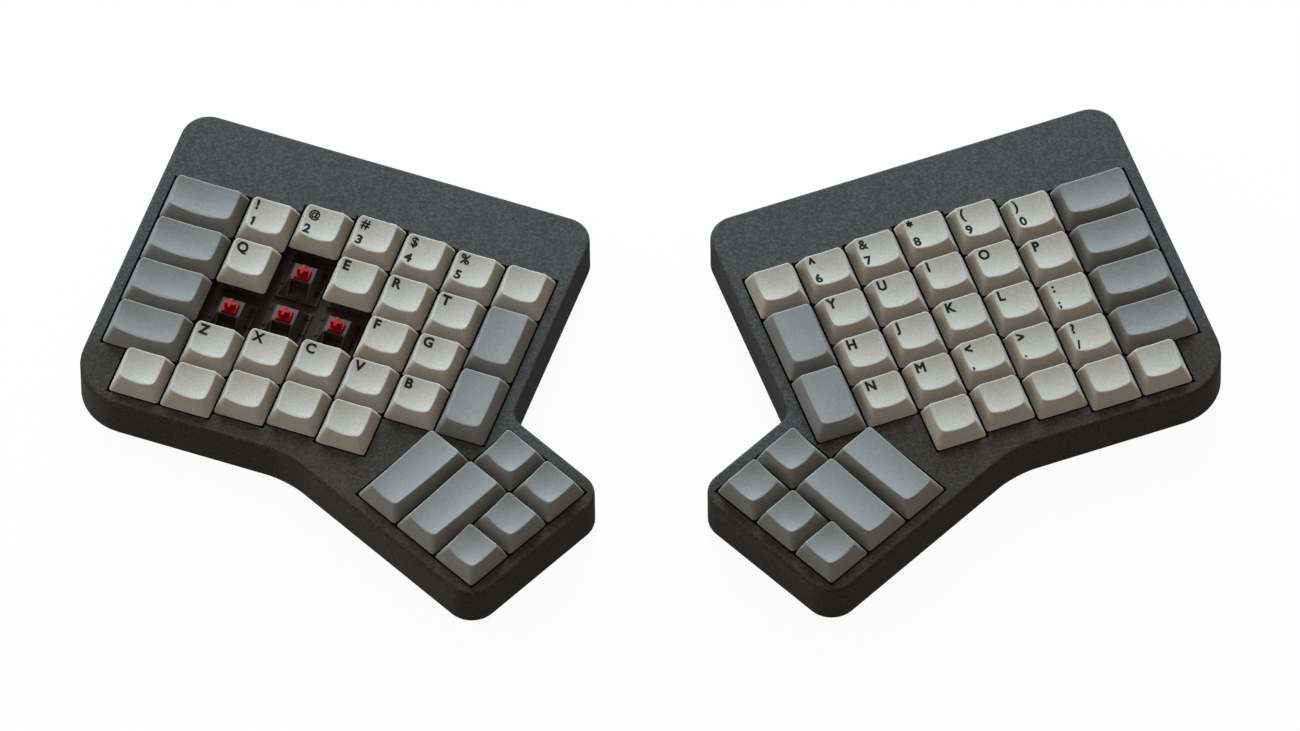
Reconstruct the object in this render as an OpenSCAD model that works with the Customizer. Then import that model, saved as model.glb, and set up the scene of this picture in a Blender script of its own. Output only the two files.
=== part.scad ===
// Ergonomic split keyboard: two mirrored halves with staggered key columns and a turned thumb cluster.
// Sizes are in millimetres. +X is to the typist's right, +Y away from the typist and +Z up.
// The origin is on the desk, midway between the halves.

/* [Key layout] */
// Distance between neighbouring key centres
key_pitch = 19.05; // [18.6:0.05:20]
// How far the two little finger columns lie in front of the middle finger column
pinky_drop = 4.8; // [2:0.1:8]
// How far the ring finger column lies in front of the middle finger column
ring_drop = 1.6; // [0.5:0.1:4]
// How far the index finger column lies in front of the middle finger column
index_drop = 1.6; // [0.5:0.1:4]
// How far the two inner columns lie in front of the middle finger column
reach_drop = 2.8; // [1:0.1:5]
// Width of the outer column's keys, in pitches
outer_units = 1.5; // [1.5:0.25:2]
// Turn of the thumb cluster against the columns, in degrees
thumb_turn = 25; // [20:1:30]
// How far the thumb cluster's corner lies behind the front end of the inner columns
thumb_back = 0.45; // [0:0.05:0.6]
// How far the thumb cluster's corner lies outside the inner column's edge
thumb_out = 0.15; // [0:0.05:0.5]

/* [Halves on the desk] */
// Turn of each half, in degrees
half_turn = 20; // [10:1:25]
// Free width between the two thumb clusters
halves_gap = 39.4; // [20:0.2:80]

/* [Case] */
// Case border around the outermost keys
border = 5; // [4.5:0.1:8]
// Case border behind the middle finger column
back_border = 24.9; // [24:0.1:32]
// Thickness of the case walls
wall = 2.5; // [2:0.1:3]
// Thickness of the lid around the keys
lid_skin = 2.2; // [1.6:0.1:3]
// Depth of the lid from its top to the parting line
lid_depth = 6.4; // [5:0.1:6.5]
// Height of the lid's top above the switch housings
lid_over = 0.3; // [0:0.1:1]
// Thickness of the case floor
floor_thick = 2; // [1.6:0.1:3]
// Radius of the case's outer corners
corner_round = 10; // [6:0.5:14]
// Radius of the outer front corner
palm_round = 20; // [12:0.5:24]
// Radius of the hollow corner between the inner wall and the thumb cluster
neck_round = 5; // [3:0.5:10]
// Radius of the hollow sweep from the front wall to the thumb cluster
web_round = 35; // [20:1:50]
// Free width between the keys' cells and the edge of the key well
well_clearance = 0.4; // [0.2:0.05:0.8]

/* [Board and plate] */
// Free height between the case floor and the circuit board
board_gap = 1.6; // [1.4:0.1:3]
// Thickness of the circuit board
board_thick = 1.6; // [1.2:0.1:2]
// Height of the plate's top above the circuit board
plate_height = 5; // [4.5:0.1:6]
// Thickness of the switch plate
plate_thick = 1.5; // [1.2:0.1:2]
// Free width between the case walls and the edges of the board and the plate
edge_clearance = 0.5; // [0.3:0.1:1]

/* [Switches] */
// Width and depth of the housing below the plate
housing_size = 14; // [13.6:0.1:14.4]
// Width and depth of the flange on the plate
flange_size = 15.6; // [15:0.1:16.2]
// Thickness of the flange
flange_thick = 1; // [0.8:0.1:1.4]
// Height of the housing above the plate
housing_rise = 6.3; // [5.8:0.1:6.8]
// Width of the housing's top
housing_top_width = 10.4; // [9:0.1:11]
// Depth of the housing's top
housing_top_depth = 9.6; // [8.6:0.1:10]
// Width of the stem's shaft in the housing
shaft_width = 7.4; // [6.8:0.1:8]
// Depth of the stem's shaft in the housing
shaft_depth = 6.2; // [6:0.1:6.8]
// Thickness of the housing's floor
shaft_floor = 1; // [0.8:0.1:1.4]
// Free width between the stem and its shaft
slide_clearance = 0.3; // [0.2:0.05:0.4]
// Radius of the pole under the housing that locates it in the circuit board
pole_radius = 1.9; // [1.6:0.1:2.2]
// Length of the arms of the stem's cross
cross_length = 4; // [3.8:0.1:4.2]
// Thickness of the arms of the stem's cross
cross_thick = 1.2; // [1:0.1:1.3]
// Height of the stem's cross
cross_height = 3.7; // [3.2:0.1:4]
// Travel of a key
key_travel = 4; // [3:0.1:4.2]

/* [Keycaps] */
// Free width between neighbouring keycaps
cap_gap = 0.7; // [0.5:0.05:1]
// Thickness of a keycap's walls
cap_wall = 1.3; // [1:0.1:1.5]
// Height of a keycap's front edge above the hollow inside
cap_skin = 1.3; // [1.1:0.1:2]
// How much higher the keycap's back edge is than its front edge
cap_rise = 1.4; // [0.6:0.1:2]
// How far the top's front edge lies behind the foot of the keycap
cap_front_inset = 3.6; // [2.6:0.1:3.8]
// How far the top's back edge lies in front of the foot of the keycap
cap_back_inset = 2.7; // [2:0.1:3.4]
// How far the top's side edges lie inside the foot of the keycap
cap_side_inset = 2.6; // [2:0.1:3.2]
// Depth of the hollow in the keycap's top
dish_depth = 0.6; // [0.3:0.1:0.8]
// Radius of the post inside a keycap
post_radius = 2.75; // [2.6:0.05:2.8]

/* [Fasteners and feet] */
// Radius of the screws' shanks
screw_radius = 1.5; // [1.2:0.1:1.8]
// Radius of the screws' heads
screw_head_radius = 2.75; // [2.4:0.05:3]
// Height of the screws' heads
screw_head_height = 1.8; // [1.4:0.1:2.2]
// Length of the screws inside the lid's bosses
screw_bite = 3.6; // [3:0.1:4]
// Radius of the bosses
boss_radius = 4; // [3.6:0.1:4.4]
// Radius of the plain posts that carry the plate
support_radius = 1.6; // [1.2:0.1:1.8]
// Radius of the rubber feet
foot_radius = 5; // [4:0.5:6]
// Height of the rubber feet
foot_height = 1.5; // [1:0.1:3]

/* [Ports] */
// Width of the link jack's body
jack_width = 6.2; // [5.4:0.1:7]
// Depth of the link jack's body
jack_depth = 12; // [10:0.1:13]
// Height of the link jack's body
jack_height = 4.8; // [4.4:0.1:5]
// Radius of the link jack's bore
jack_bore_radius = 1.8; // [1.25:0.05:1.9]
// Width of the computer socket
usb_width = 9; // [7:0.1:10]
// Height of the computer socket
usb_height = 3.2; // [2.6:0.1:3.4]
// Depth of the computer socket
usb_depth = 7.4; // [5:0.1:9]
// Thickness of the computer socket's shell
usb_shell = 0.4; // [0.3:0.05:0.5]
// Width of the controller board
controller_width = 18; // [16:0.5:22]
// Depth of the controller board
controller_depth = 19; // [16:0.5:20]
// Thickness of the controller board
controller_thick = 1.6; // [1.2:0.1:1.7]

/* [Hidden] */
$fn = 48;
// Steps along each rounded corner of the case
arc_steps = 12;
// Overlap of a cut past the face that it opens
cut = 1;
// Clearance of pieces that are fixed in each other
fit = 0.05;
// Clearance of pieces that pass through a hole
pass = 0.2;
// Clearance of a pressed keycap above its switch housing
press_clearance = 0.25;
// Distance from a boss to the nearest edge of the key well
boss_margin = 1.2;

// Heights, from the desk up
floor_z = foot_height + floor_thick;
board_z = floor_z + board_gap;
board_top_z = board_z + board_thick;
plate_top_z = board_top_z + plate_height;
plate_z = plate_top_z - plate_thick;
housing_top_z = plate_top_z + housing_rise;
case_top_z = housing_top_z + lid_over;
parting_z = case_top_z - lid_depth;
lid_under_z = case_top_z - lid_skin;
cap_foot_z = housing_top_z + fit;
shaft_floor_z = board_top_z + shaft_floor;
stem_foot_z = shaft_floor_z + slide_clearance + key_travel;

// Keycap heights above the keycap's foot
cap_hollow = key_travel + press_clearance - fit;
cap_front = cap_hollow + cap_skin;
cap_back = cap_front + cap_rise;

// Columns from the outer one to the inner one: left edge in pitches and distance in front of the middle finger
inner_column = 6;
column_left = [0, for (i = [0:5]) outer_units + i];
column_drop = [pinky_drop, pinky_drop, ring_drop, 0, index_drop, reach_drop, reach_drop];
letter_rows = 4;
inner_tall = 1.5;
thumb_tall = 2;

// A key is its centre, its turn and its width and depth in pitches
function column_key(column, row, wide = 1, tall = 1, shift = 0) =
    [(column_left[column] + shift + wide / 2) * key_pitch,
     -column_drop[column] - (row + tall / 2) * key_pitch, 0, wide, tall];

thumb_x = column_left[inner_column] * key_pitch - thumb_out;
thumb_y = -reach_drop - letter_rows * key_pitch + thumb_back;
thumb_across = [cos(thumb_turn), -sin(thumb_turn)];
thumb_along = [sin(thumb_turn), cos(thumb_turn)];
function thumb_point(x, y) = [thumb_x, thumb_y] + x * thumb_across + y * thumb_along;

function thumb_key(left, low, tall = 1, wide = 1) =
    let (c = thumb_point((left + wide / 2) * key_pitch, (low + tall / 2) * key_pitch))
    [c[0], c[1], -thumb_turn, wide, tall];

number_keys = [for (c = [1:inner_column]) column_key(c, 0)];
outer_keys = [for (r = [0:3]) column_key(0, r, outer_units)];
bottom_keys = [column_key(0, letter_rows, shift = outer_units - 1), for (c = [1:4]) column_key(c, letter_rows)];
inner_keys = [for (row = [1, 1 + inner_tall]) column_key(inner_column, row, tall = inner_tall)];
thumb_tall_keys = [thumb_key(0, -thumb_tall, thumb_tall), thumb_key(1, -thumb_tall, thumb_tall)];
thumb_small_keys = [thumb_key(1, 0), for (low = [0:-1:-2]) thumb_key(2, low)];
letter_keys = [for (r = [1:3], c = [1:5]) column_key(c, r)];
all_keys = concat(number_keys, outer_keys, bottom_keys, inner_keys, thumb_tall_keys, thumb_small_keys, letter_keys);

// Blocks of keys that share one opening in the lid, in the form of keys
key_blocks = [
    column_key(0, 0, outer_units, letter_rows),
    column_key(0, letter_rows, shift = outer_units - 1),
    for (c = [1:4]) column_key(c, 0, tall = letter_rows + 1),
    column_key(5, 0, 2, letter_rows),
    thumb_key(0, -thumb_tall, thumb_tall, 3),
    thumb_key(1, 0, wide = 2)
];

// Case outline: the block under the columns and the turned block under the thumb cluster
main_left = -border;
main_right = (column_left[inner_column] + 1) * key_pitch + border;
main_front = -pinky_drop - (letter_rows + 1) * key_pitch - border;
main_back = back_border;
thumb_right = 3 * key_pitch + border;
thumb_top = key_pitch + border;
thumb_bottom = -thumb_tall * key_pitch - border;

// Walls in turn round a half: outward direction in degrees, distance from the half's own origin,
// and the radius of the corner to the next wall, negative where that corner is hollow
thumb_base = [thumb_x, thumb_y];
walls = [
    [-90, -main_front, -web_round],
    [-90 - thumb_turn, -(thumb_base * thumb_along) - thumb_bottom, corner_round],
    [-thumb_turn, thumb_base * thumb_across + thumb_right, corner_round],
    [90 - thumb_turn, thumb_base * thumb_along + thumb_top, -neck_round],
    [0, main_right, corner_round],
    [90, main_back, corner_round],
    [180, -main_left, palm_round],
    [270, -main_front, -web_round]
];
function outward(angle) = [cos(angle), sin(angle)];

// The point that lies a given distance inside both of two walls
function inside_both(a, b, depth) =
    let (p = a[1] - depth, q = b[1] - depth, m = outward(a[0]), n = outward(b[0]), d = m[0] * n[1] - m[1] * n[0])
    [(p * n[1] - q * m[1]) / d, (q * m[0] - p * n[0]) / d];

// Corner from a wall to the next, drawn in by an inset, as points on its arc
function corner_points(i, inset) =
    let (a = walls[i], b = walls[i + 1], center = inside_both(a, b, a[2]), radius = a[2] - inset)
    [for (k = [0:arc_steps]) center + radius * outward(a[0] + (b[0] - a[0]) * k / arc_steps)];

// Rounded outer corners in the half's own frame, as a centre and a radius
corner_arcs = [
    for (i = [0:len(walls) - 2])
        if (walls[i][2] > 0) concat(inside_both(walls[i], walls[i + 1], walls[i][2]), walls[i][2])
];
function turned_x(a) = a[0] * cos(half_turn) + a[1] * sin(half_turn);
function turned_y(a) = a[1] * cos(half_turn) - a[0] * sin(half_turn);
half_x = halves_gap / 2 + max([for (a = corner_arcs) turned_x(a) + a[2]]);
half_y = -(max([for (a = corner_arcs) turned_y(a) + a[2]]) + min([for (a = corner_arcs) turned_y(a) - a[2]])) / 2;

// Screw bosses: three behind the keys, one beside the bottom row and one between the columns and the thumb cluster
back_strip_y = (main_back - wall + well_clearance) / 2;
side_strip_x = (main_left + wall + (outer_units - 1) * key_pitch - well_clearance) / 2;
index_right = (column_left[4] + 1) * key_pitch;
columns_front = -reach_drop - letter_rows * key_pitch;
boss_points = [
    [0.75 * key_pitch, back_strip_y],
    [4 * key_pitch, back_strip_y],
    [7 * key_pitch, back_strip_y],
    [side_strip_x, -pinky_drop - (letter_rows + 0.5) * key_pitch],
    [index_right + well_clearance + boss_radius + boss_margin,
     columns_front - well_clearance - boss_radius - 2 * boss_margin]
];
// Plain posts at corners between switches, where no boss is near
support_points = [
    thumb_point(2 * key_pitch, 0),
    thumb_point(2 * key_pitch, -key_pitch),
    [column_left[3] * key_pitch, -2 * key_pitch - ring_drop / 2],
    [column_left[5] * key_pitch, -2 * key_pitch - (index_drop + reach_drop) / 2]
];
foot_points = [
    [1.9 * key_pitch, back_strip_y],
    [6 * key_pitch, back_strip_y],
    [1.6 * key_pitch, -pinky_drop - (letter_rows + 0.5) * key_pitch],
    thumb_point(2.5 * key_pitch, -1.5 * key_pitch),
    thumb_point(2.5 * key_pitch, 0.5 * key_pitch)
];

// Ports on the back wall
jack_x = 5.2 * key_pitch;
jack_barrel_radius = jack_height / 2;
jack_back = main_back - wall - pass;
usb_x = 2.9 * key_pitch;
usb_z = board_top_z + controller_thick;
port_mouth = main_back - pass;

// Screw heights
screw_head_z = foot_height + pass;
screw_seat_z = screw_head_z + screw_head_height;
screw_tip_z = plate_top_z + screw_bite;

case_color = "#4c5152";
light_cap_color = "#b3b6ad";
grey_cap_color = "#868d90";
stem_color = "#c4161c";
housing_color = "#2a2725";
plate_color = "#1f1d1c";
board_color = "#1d3a2a";
metal_color = "#a9abad";
rubber_color = "#1a1a1a";

SIDES = ["left", "right"];
// Letters of the three letter rows on each half, from the outer column inwards
LETTERS = [
    ["q", "w", "e", "r", "t", "a", "s", "d", "f", "g", "z", "x", "c", "v", "b"],
    ["p", "o", "i", "u", "y", "semicolon", "l", "k", "j", "h", "slash", "period", "comma", "m", "n"]
];
// Letters on the left half whose keycaps are off
BARE = ["w", "a", "s", "d"];
function is_bare(side, i) = side == 0 && len([for (b = BARE) if (b == LETTERS[side][i]) b]) > 0;
function letter_name(side, i) = str(is_bare(side, i) ? "stem_" : "key_", LETTERS[side][i]);

FIXED = [
    "bottom_case", "top_case", "switch_plate", "circuit_board", "switch_housings",
    "case_screws", "rubber_feet", "link_jack"
];
GROUPS = ["number_keys", "outer_keys", "bottom_keys", "inner_keys", "thumb_tall_keys", "thumb_small_keys"];
RIGHT_ONLY = ["controller_board", "usb_socket"];
function side_nodes(side) = concat(
    FIXED, GROUPS, [for (i = [0:len(letter_keys) - 1]) letter_name(side, i)], side == 1 ? RIGHT_ONLY : []
);
NODES = [for (side = [0, 1]) for (n = side_nodes(side)) str(SIDES[side], "_", n)];
node = "all";
function wanted(side, name) = node == "all" || node == str(SIDES[side], "_", name);

// Outline of a half's case, drawn in by an inset
module case_outline(inset = 0) {
    polygon([for (i = [0:len(walls) - 2]) each corner_points(i, inset)]);
}

// Slab between two heights
module slab(low, high) {
    translate([0, 0, low]) linear_extrude(high - low) children();
}

// Children at each key's centre, turned with the key
module at_keys(keys) {
    for (k = keys) {
        translate([k[0], k[1], 0]) rotate(k[2]) children();
    }
}

// Upright round bar or hole between two heights
module bar(point, radius, low, high) {
    translate([point[0], point[1], low]) cylinder(r = radius, h = high - low);
}

// Straight slot in the back wall for the link jack's barrel, open towards the parting line
module jack_cut() {
    r = jack_barrel_radius + pass;
    translate([jack_x - r, main_back - wall - cut, board_top_z - pass])
        cube([2 * r, wall + 2 * cut, max(parting_z - board_top_z, jack_height) + 2 * pass]);
}

// Room that the computer socket takes in the back wall, open towards the parting line
module usb_cut() {
    translate([usb_x - usb_width / 2 - pass, main_back - wall - cut, usb_z - pass])
        cube([usb_width + 2 * pass, wall + 2 * cut, max(parting_z - usb_z, usb_height) + 2 * pass]);
}

// Tray with its floor, screw bosses and support posts
module bottom_case(side) {
    color(case_color) difference() {
        union() {
            difference() {
                slab(foot_height, parting_z) case_outline();
                slab(floor_z, parting_z + cut) case_outline(wall);
            }
            for (p = boss_points) {
                bar(p, boss_radius, floor_z - floor_thick / 2, plate_z);
            }
            for (p = support_points) {
                bar(p, support_radius, floor_z - floor_thick / 2, plate_z);
            }
        }
        for (p = boss_points) {
            bar(p, screw_head_radius + pass, foot_height - cut, screw_seat_z);
            bar(p, screw_radius + pass, foot_height - cut, plate_z + cut);
        }
        jack_cut();
        if (side == 1) usb_cut();
    }
}

// Lid with the key well and the bosses that press the plate down
module top_case() {
    color(case_color) difference() {
        union() {
            difference() {
                slab(parting_z, case_top_z) case_outline();
                slab(parting_z - cut, lid_under_z) case_outline(wall);
                slab(lid_under_z - cut, case_top_z + cut) key_well();
            }
            for (p = boss_points) {
                bar(p, boss_radius, plate_top_z, lid_under_z + lid_skin / 2);
            }
        }
        for (p = boss_points) {
            bar(p, screw_radius + fit, plate_top_z - cut, screw_tip_z + pass);
        }
    }
}

// Outline of the key well: the blocks of keys and their clearance
module key_well() {
    for (k = key_blocks) {
        at_keys([k]) square([k[3], k[4]] * key_pitch + [1, 1] * 2 * well_clearance, center = true);
    }
}

// Plate with a square hole for each switch, clamped between the bosses
module switch_plate(side) {
    inset = wall + edge_clearance;
    jack_room = [jack_width + 4 * pass, jack_depth + 2 * pass];
    usb_room = [usb_width + 4 * pass, usb_depth + 2 * pass];
    color(plate_color) difference() {
        slab(plate_z, plate_top_z) case_outline(inset);
        slab(plate_z - cut, plate_top_z + cut) {
            at_keys(all_keys) square(housing_size + 2 * fit, center = true);
            for (p = boss_points) {
                translate(p) circle(screw_radius + pass);
            }
            translate([jack_x - jack_room[0] / 2, jack_back - jack_room[1]])
                square([jack_room[0], jack_room[1] + wall]);
            if (side == 1) {
                translate([usb_x - usb_room[0] / 2, port_mouth - usb_room[1]])
                    square([usb_room[0], usb_room[1] + wall]);
            }
        }
    }
}

// Circuit board with holes for the switches' poles, the bosses and the support posts
module circuit_board() {
    color(board_color) slab(board_z, board_top_z) difference() {
        case_outline(wall + edge_clearance);
        at_keys(all_keys) circle(pole_radius + fit);
        for (p = boss_points) {
            translate(p) circle(boss_radius + 2 * pass);
        }
        for (p = support_points) {
            translate(p) circle(support_radius + 2 * pass);
        }
    }
}

// Block with four sloping sides, standing on z = 0: width and depth at its foot and at its top
module tapered_block(foot, top, height) {
    intersection() {
        rotate([90, 0, 0]) linear_extrude(2 * foot[1], center = true)
            polygon([[-foot[0] / 2, 0], [foot[0] / 2, 0], [top[0] / 2, height], [-top[0] / 2, height]]);
        rotate([90, 0, 90]) linear_extrude(2 * foot[0], center = true)
            polygon([[-foot[1] / 2, 0], [foot[1] / 2, 0], [top[1] / 2, height], [-top[1] / 2, height]]);
    }
}

// Switch housing with the shaft for its stem
module switch_housing() {
    body_z = plate_top_z + flange_thick;
    difference() {
        union() {
            slab(board_top_z, body_z) square(housing_size, center = true);
            slab(plate_top_z, body_z) square(flange_size, center = true);
            translate([0, 0, body_z])
                tapered_block([housing_size, housing_size], [housing_top_width, housing_top_depth],
                    housing_top_z - body_z);
            bar([0, 0], pole_radius, board_z, board_top_z + shaft_floor / 2);
        }
        slab(shaft_floor_z, housing_top_z + cut) square([shaft_width, shaft_depth], center = true);
    }
}

// All switch housings of a half
module switch_housings() {
    color(housing_color) at_keys(all_keys) switch_housing();
}

// Plus-shaped bar of the stem's cross, or of its socket with a clearance
module cross(low, high, clearance = 0) {
    long = cross_length + 2 * clearance;
    thick = cross_thick + 2 * clearance;
    slab(low, high) {
        square([long, thick], center = true);
        square([thick, long], center = true);
    }
}

// Switch stem: the slider in the housing and the cross that carries the keycap
module stem() {
    color(stem_color) {
        slab(stem_foot_z, housing_top_z)
            square([shaft_width - 2 * slide_clearance, shaft_depth - 2 * slide_clearance], center = true);
        cross(housing_top_z - cut, housing_top_z + cross_height);
    }
}

// Outer form of a keycap without its dish, standing on z = 0
module cap_form(width, depth) {
    slope = cap_side_inset / cap_front;
    top = width / 2 - slope * cap_back;
    front = cap_front_inset - depth / 2;
    back = depth / 2 - cap_back_inset;
    intersection() {
        rotate([90, 0, 0]) linear_extrude(2 * depth, center = true)
            polygon([[-width / 2, 0], [width / 2, 0], [top, cap_back], [-top, cap_back]]);
        rotate([90, 0, 90]) linear_extrude(2 * width, center = true)
            polygon([[-depth / 2, 0], [depth / 2, 0], [back, cap_back], [front, cap_front]]);
    }
}

// Hollow inside a keycap, with walls that follow the outside up to a flat ceiling
module cap_hollow_form(width, depth) {
    side = width / 2 - cap_wall;
    side_top = side - cap_hollow * cap_side_inset / cap_front;
    front = cap_wall - depth / 2;
    front_top = front + cap_hollow * cap_front_inset / cap_front;
    back = depth / 2 - cap_wall;
    back_top = back - cap_hollow * cap_back_inset / cap_back;
    intersection() {
        rotate([90, 0, 0]) linear_extrude(2 * depth, center = true)
            polygon([[-side, -cut], [-side, 0], [-side_top, cap_hollow],
                [side_top, cap_hollow], [side, 0], [side, -cut]]);
        rotate([90, 0, 90]) linear_extrude(2 * width, center = true)
            polygon([[front, -cut], [front, 0], [front_top, cap_hollow],
                [back_top, cap_hollow], [back, 0], [back, -cut]]);
    }
}

// Round hollow along the keycap's sloping top
module cap_dish(width, depth) {
    chord = width - 2 * cap_side_inset;
    radius = (chord * chord / 4 + dish_depth * dish_depth) / (2 * dish_depth);
    top_depth = depth - cap_front_inset - cap_back_inset;
    middle = (cap_front_inset - cap_back_inset) / 2;
    translate([0, middle, (cap_front + cap_back) / 2])
        rotate([atan(cap_rise / top_depth), 0, 0])
            translate([0, 0, radius - dish_depth])
                rotate([90, 0, 0]) cylinder(r = radius, h = 2 * depth, center = true, $fn = 180);
}

// Keycap of a width and depth in pitches, with the post that takes the stem's cross
module keycap(wide, tall) {
    width = wide * key_pitch - cap_gap;
    depth = tall * key_pitch - cap_gap;
    translate([0, 0, cap_foot_z]) difference() {
        cap_form(width, depth);
        difference() {
            cap_hollow_form(width, depth);
            bar([0, 0], post_radius, 0, cap_hollow + cut);
        }
        cap_dish(width, depth);
        cross(-cut, cross_height, fit);
    }
}

// Keys of one kind: a keycap on its stem each
module keys(list, cap_color) {
    for (k = list) {
        at_keys([k]) {
            stem();
            color(cap_color) keycap(k[3], k[4]);
        }
    }
}

// Screws that go up through the tray and the plate into the lid
module case_screws() {
    color(metal_color) for (p = boss_points) {
        difference() {
            union() {
                bar(p, screw_head_radius, screw_head_z, screw_seat_z);
                bar(p, screw_radius, screw_head_z, screw_tip_z);
            }
            translate([p[0], p[1], screw_head_z - cut])
                cylinder(r = screw_radius * 0.8, h = screw_head_height / 2 + cut, $fn = 6);
        }
    }
}

// Rubber feet under the tray
module rubber_feet() {
    color(rubber_color) for (p = foot_points) {
        bar(p, foot_radius, 0, foot_height);
    }
}

// Jack for the lead between the halves, on the circuit board behind the keys
module link_jack() {
    axis_z = board_top_z + jack_barrel_radius;
    color(housing_color) difference() {
        union() {
            translate([jack_x - jack_width / 2, jack_back - jack_depth, board_top_z])
                cube([jack_width, jack_depth, jack_height]);
            translate([jack_x, jack_back - cut, axis_z]) rotate([-90, 0, 0])
                cylinder(r = jack_barrel_radius, h = port_mouth - jack_back + cut);
        }
        translate([jack_x, jack_back - jack_depth + 2 * cut, axis_z]) rotate([-90, 0, 0])
            cylinder(r = jack_bore_radius, h = jack_depth + wall + cut);
    }
}

// Board with the controller, on the right half's circuit board
module controller_board() {
    color(board_color)
        translate([usb_x - controller_width / 2, jack_back - controller_depth, board_top_z])
            cube([controller_width, controller_depth, controller_thick]);
}

// Socket for the computer's lead: a metal shell round a tongue
module usb_socket() {
    room = [usb_width - 2 * usb_shell, usb_depth - usb_shell, usb_height - 2 * usb_shell];
    tongue = [room[0] * 0.7, room[1] * 0.8, room[2] * 0.3];
    color(metal_color) translate([usb_x, port_mouth, usb_z]) {
        difference() {
            translate([-usb_width / 2, -usb_depth, 0]) cube([usb_width, usb_depth, usb_height]);
            difference() {
                translate([-room[0] / 2, -room[1], usb_shell]) cube(room + [0, cut, 0]);
                translate([-tongue[0] / 2, -usb_depth, (usb_height - tongue[2]) / 2])
                    cube([tongue[0], usb_shell + tongue[1], tongue[2]]);
            }
        }
    }
}

// Children in the frame of one half: the right half is the left one's mirror image
module on_half(side) {
    mirror([side, 0, 0]) translate([-half_x, half_y, 0]) rotate(-half_turn) children();
}

for (side = [0, 1]) {
    if (wanted(side, "bottom_case")) on_half(side) bottom_case(side);
    if (wanted(side, "top_case")) on_half(side) top_case();
    if (wanted(side, "switch_plate")) on_half(side) switch_plate(side);
    if (wanted(side, "circuit_board")) on_half(side) circuit_board();
    if (wanted(side, "switch_housings")) on_half(side) switch_housings();
    if (wanted(side, "case_screws")) on_half(side) case_screws();
    if (wanted(side, "rubber_feet")) on_half(side) rubber_feet();
    if (wanted(side, "link_jack")) on_half(side) link_jack();
    if (wanted(side, "number_keys")) on_half(side) keys(number_keys, light_cap_color);
    if (wanted(side, "outer_keys")) on_half(side) keys(outer_keys, grey_cap_color);
    if (wanted(side, "bottom_keys")) on_half(side) keys(bottom_keys, light_cap_color);
    if (wanted(side, "inner_keys")) on_half(side) keys(inner_keys, grey_cap_color);
    if (wanted(side, "thumb_tall_keys")) on_half(side) keys(thumb_tall_keys, grey_cap_color);
    if (wanted(side, "thumb_small_keys")) on_half(side) keys(thumb_small_keys, grey_cap_color);
    for (i = [0:len(letter_keys) - 1]) {
        if (wanted(side, letter_name(side, i)) && is_bare(side, i)) on_half(side) at_keys([letter_keys[i]]) stem();
        if (wanted(side, letter_name(side, i)) && !is_bare(side, i))
            on_half(side) keys([letter_keys[i]], light_cap_color);
    }
}
if (wanted(1, "controller_board")) on_half(1) controller_board();
if (wanted(1, "usb_socket")) on_half(1) usb_socket();
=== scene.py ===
"""Looks of an ergonomic split keyboard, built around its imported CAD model.

Sizes are in millimetres, in the frame of one half: x runs to the right from the left edge of the outer column, y away
from the typist from the back of the middle finger column, and z up from the desk. Layout turns them into metres in the
row frame. The right half is the left one's mirror image.
"""

import logging
import math
from dataclasses import dataclass, field
from enum import Enum
from functools import cached_property, partial
from typing import Callable, Sequence

import bmesh
import bpy
from mathutils import Matrix, Vector


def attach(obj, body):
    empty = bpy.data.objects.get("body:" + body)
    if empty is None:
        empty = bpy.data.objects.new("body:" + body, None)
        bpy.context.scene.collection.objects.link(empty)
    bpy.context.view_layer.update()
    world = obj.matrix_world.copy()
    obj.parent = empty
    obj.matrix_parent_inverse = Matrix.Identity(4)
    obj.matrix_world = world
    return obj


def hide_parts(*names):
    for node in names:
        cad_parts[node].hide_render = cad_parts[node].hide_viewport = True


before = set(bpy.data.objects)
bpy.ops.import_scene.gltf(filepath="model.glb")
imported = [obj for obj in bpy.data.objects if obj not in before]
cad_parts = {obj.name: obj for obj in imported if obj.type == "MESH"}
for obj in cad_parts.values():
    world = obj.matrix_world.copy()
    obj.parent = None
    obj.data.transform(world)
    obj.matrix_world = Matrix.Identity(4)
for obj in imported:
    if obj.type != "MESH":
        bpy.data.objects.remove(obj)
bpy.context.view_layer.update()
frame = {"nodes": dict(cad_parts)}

LOG = logging.getLogger("split_keyboard")
MM = 0.001
PITCH = 19.05
# Places that are nearer to each other than this, in mm, count as one
NEAR = 1e-4
# How far a cutting tool passes the face that it opens, in mm
PAST = 1.0


class Half(Enum):
    """One half of the keyboard. The value is the direction of its x axis in the row frame."""

    LEFT = 1
    RIGHT = -1

    @property
    def prefix(self) -> str:
        """Start of the names of this half's pieces and nodes."""
        return self.name.lower() + "_"

    @property
    def body(self) -> str:
        """CAD body that this half's fixed pieces ride on."""
        return self.prefix + "half"


class Carve(Enum):
    """What a Boolean step does with its tool."""

    ADD = "UNION"
    CUT = "DIFFERENCE"


@dataclass(frozen=True)
class Cell:
    """Place of a key in its half: centre in mm, turn in degrees, width and depth in pitches."""

    x: float
    y: float
    turn: float = 0.0
    wide: float = 1.0
    tall: float = 1.0


@dataclass(frozen=True)
class Heights:
    """Heights above the desk in mm, as in the CAD model."""

    foot: float = 1.5
    floor: float = 3.5
    board: float = 5.1
    board_top: float = 6.7
    plate_under: float = 10.2
    plate: float = 11.7
    parting: float = 11.9
    lid_under: float = 16.1
    housing: float = 18.0
    cap_foot: float = 18.05
    case: float = 18.3
    shaft_floor: float = 7.7
    stem_foot: float = 12.0


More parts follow.
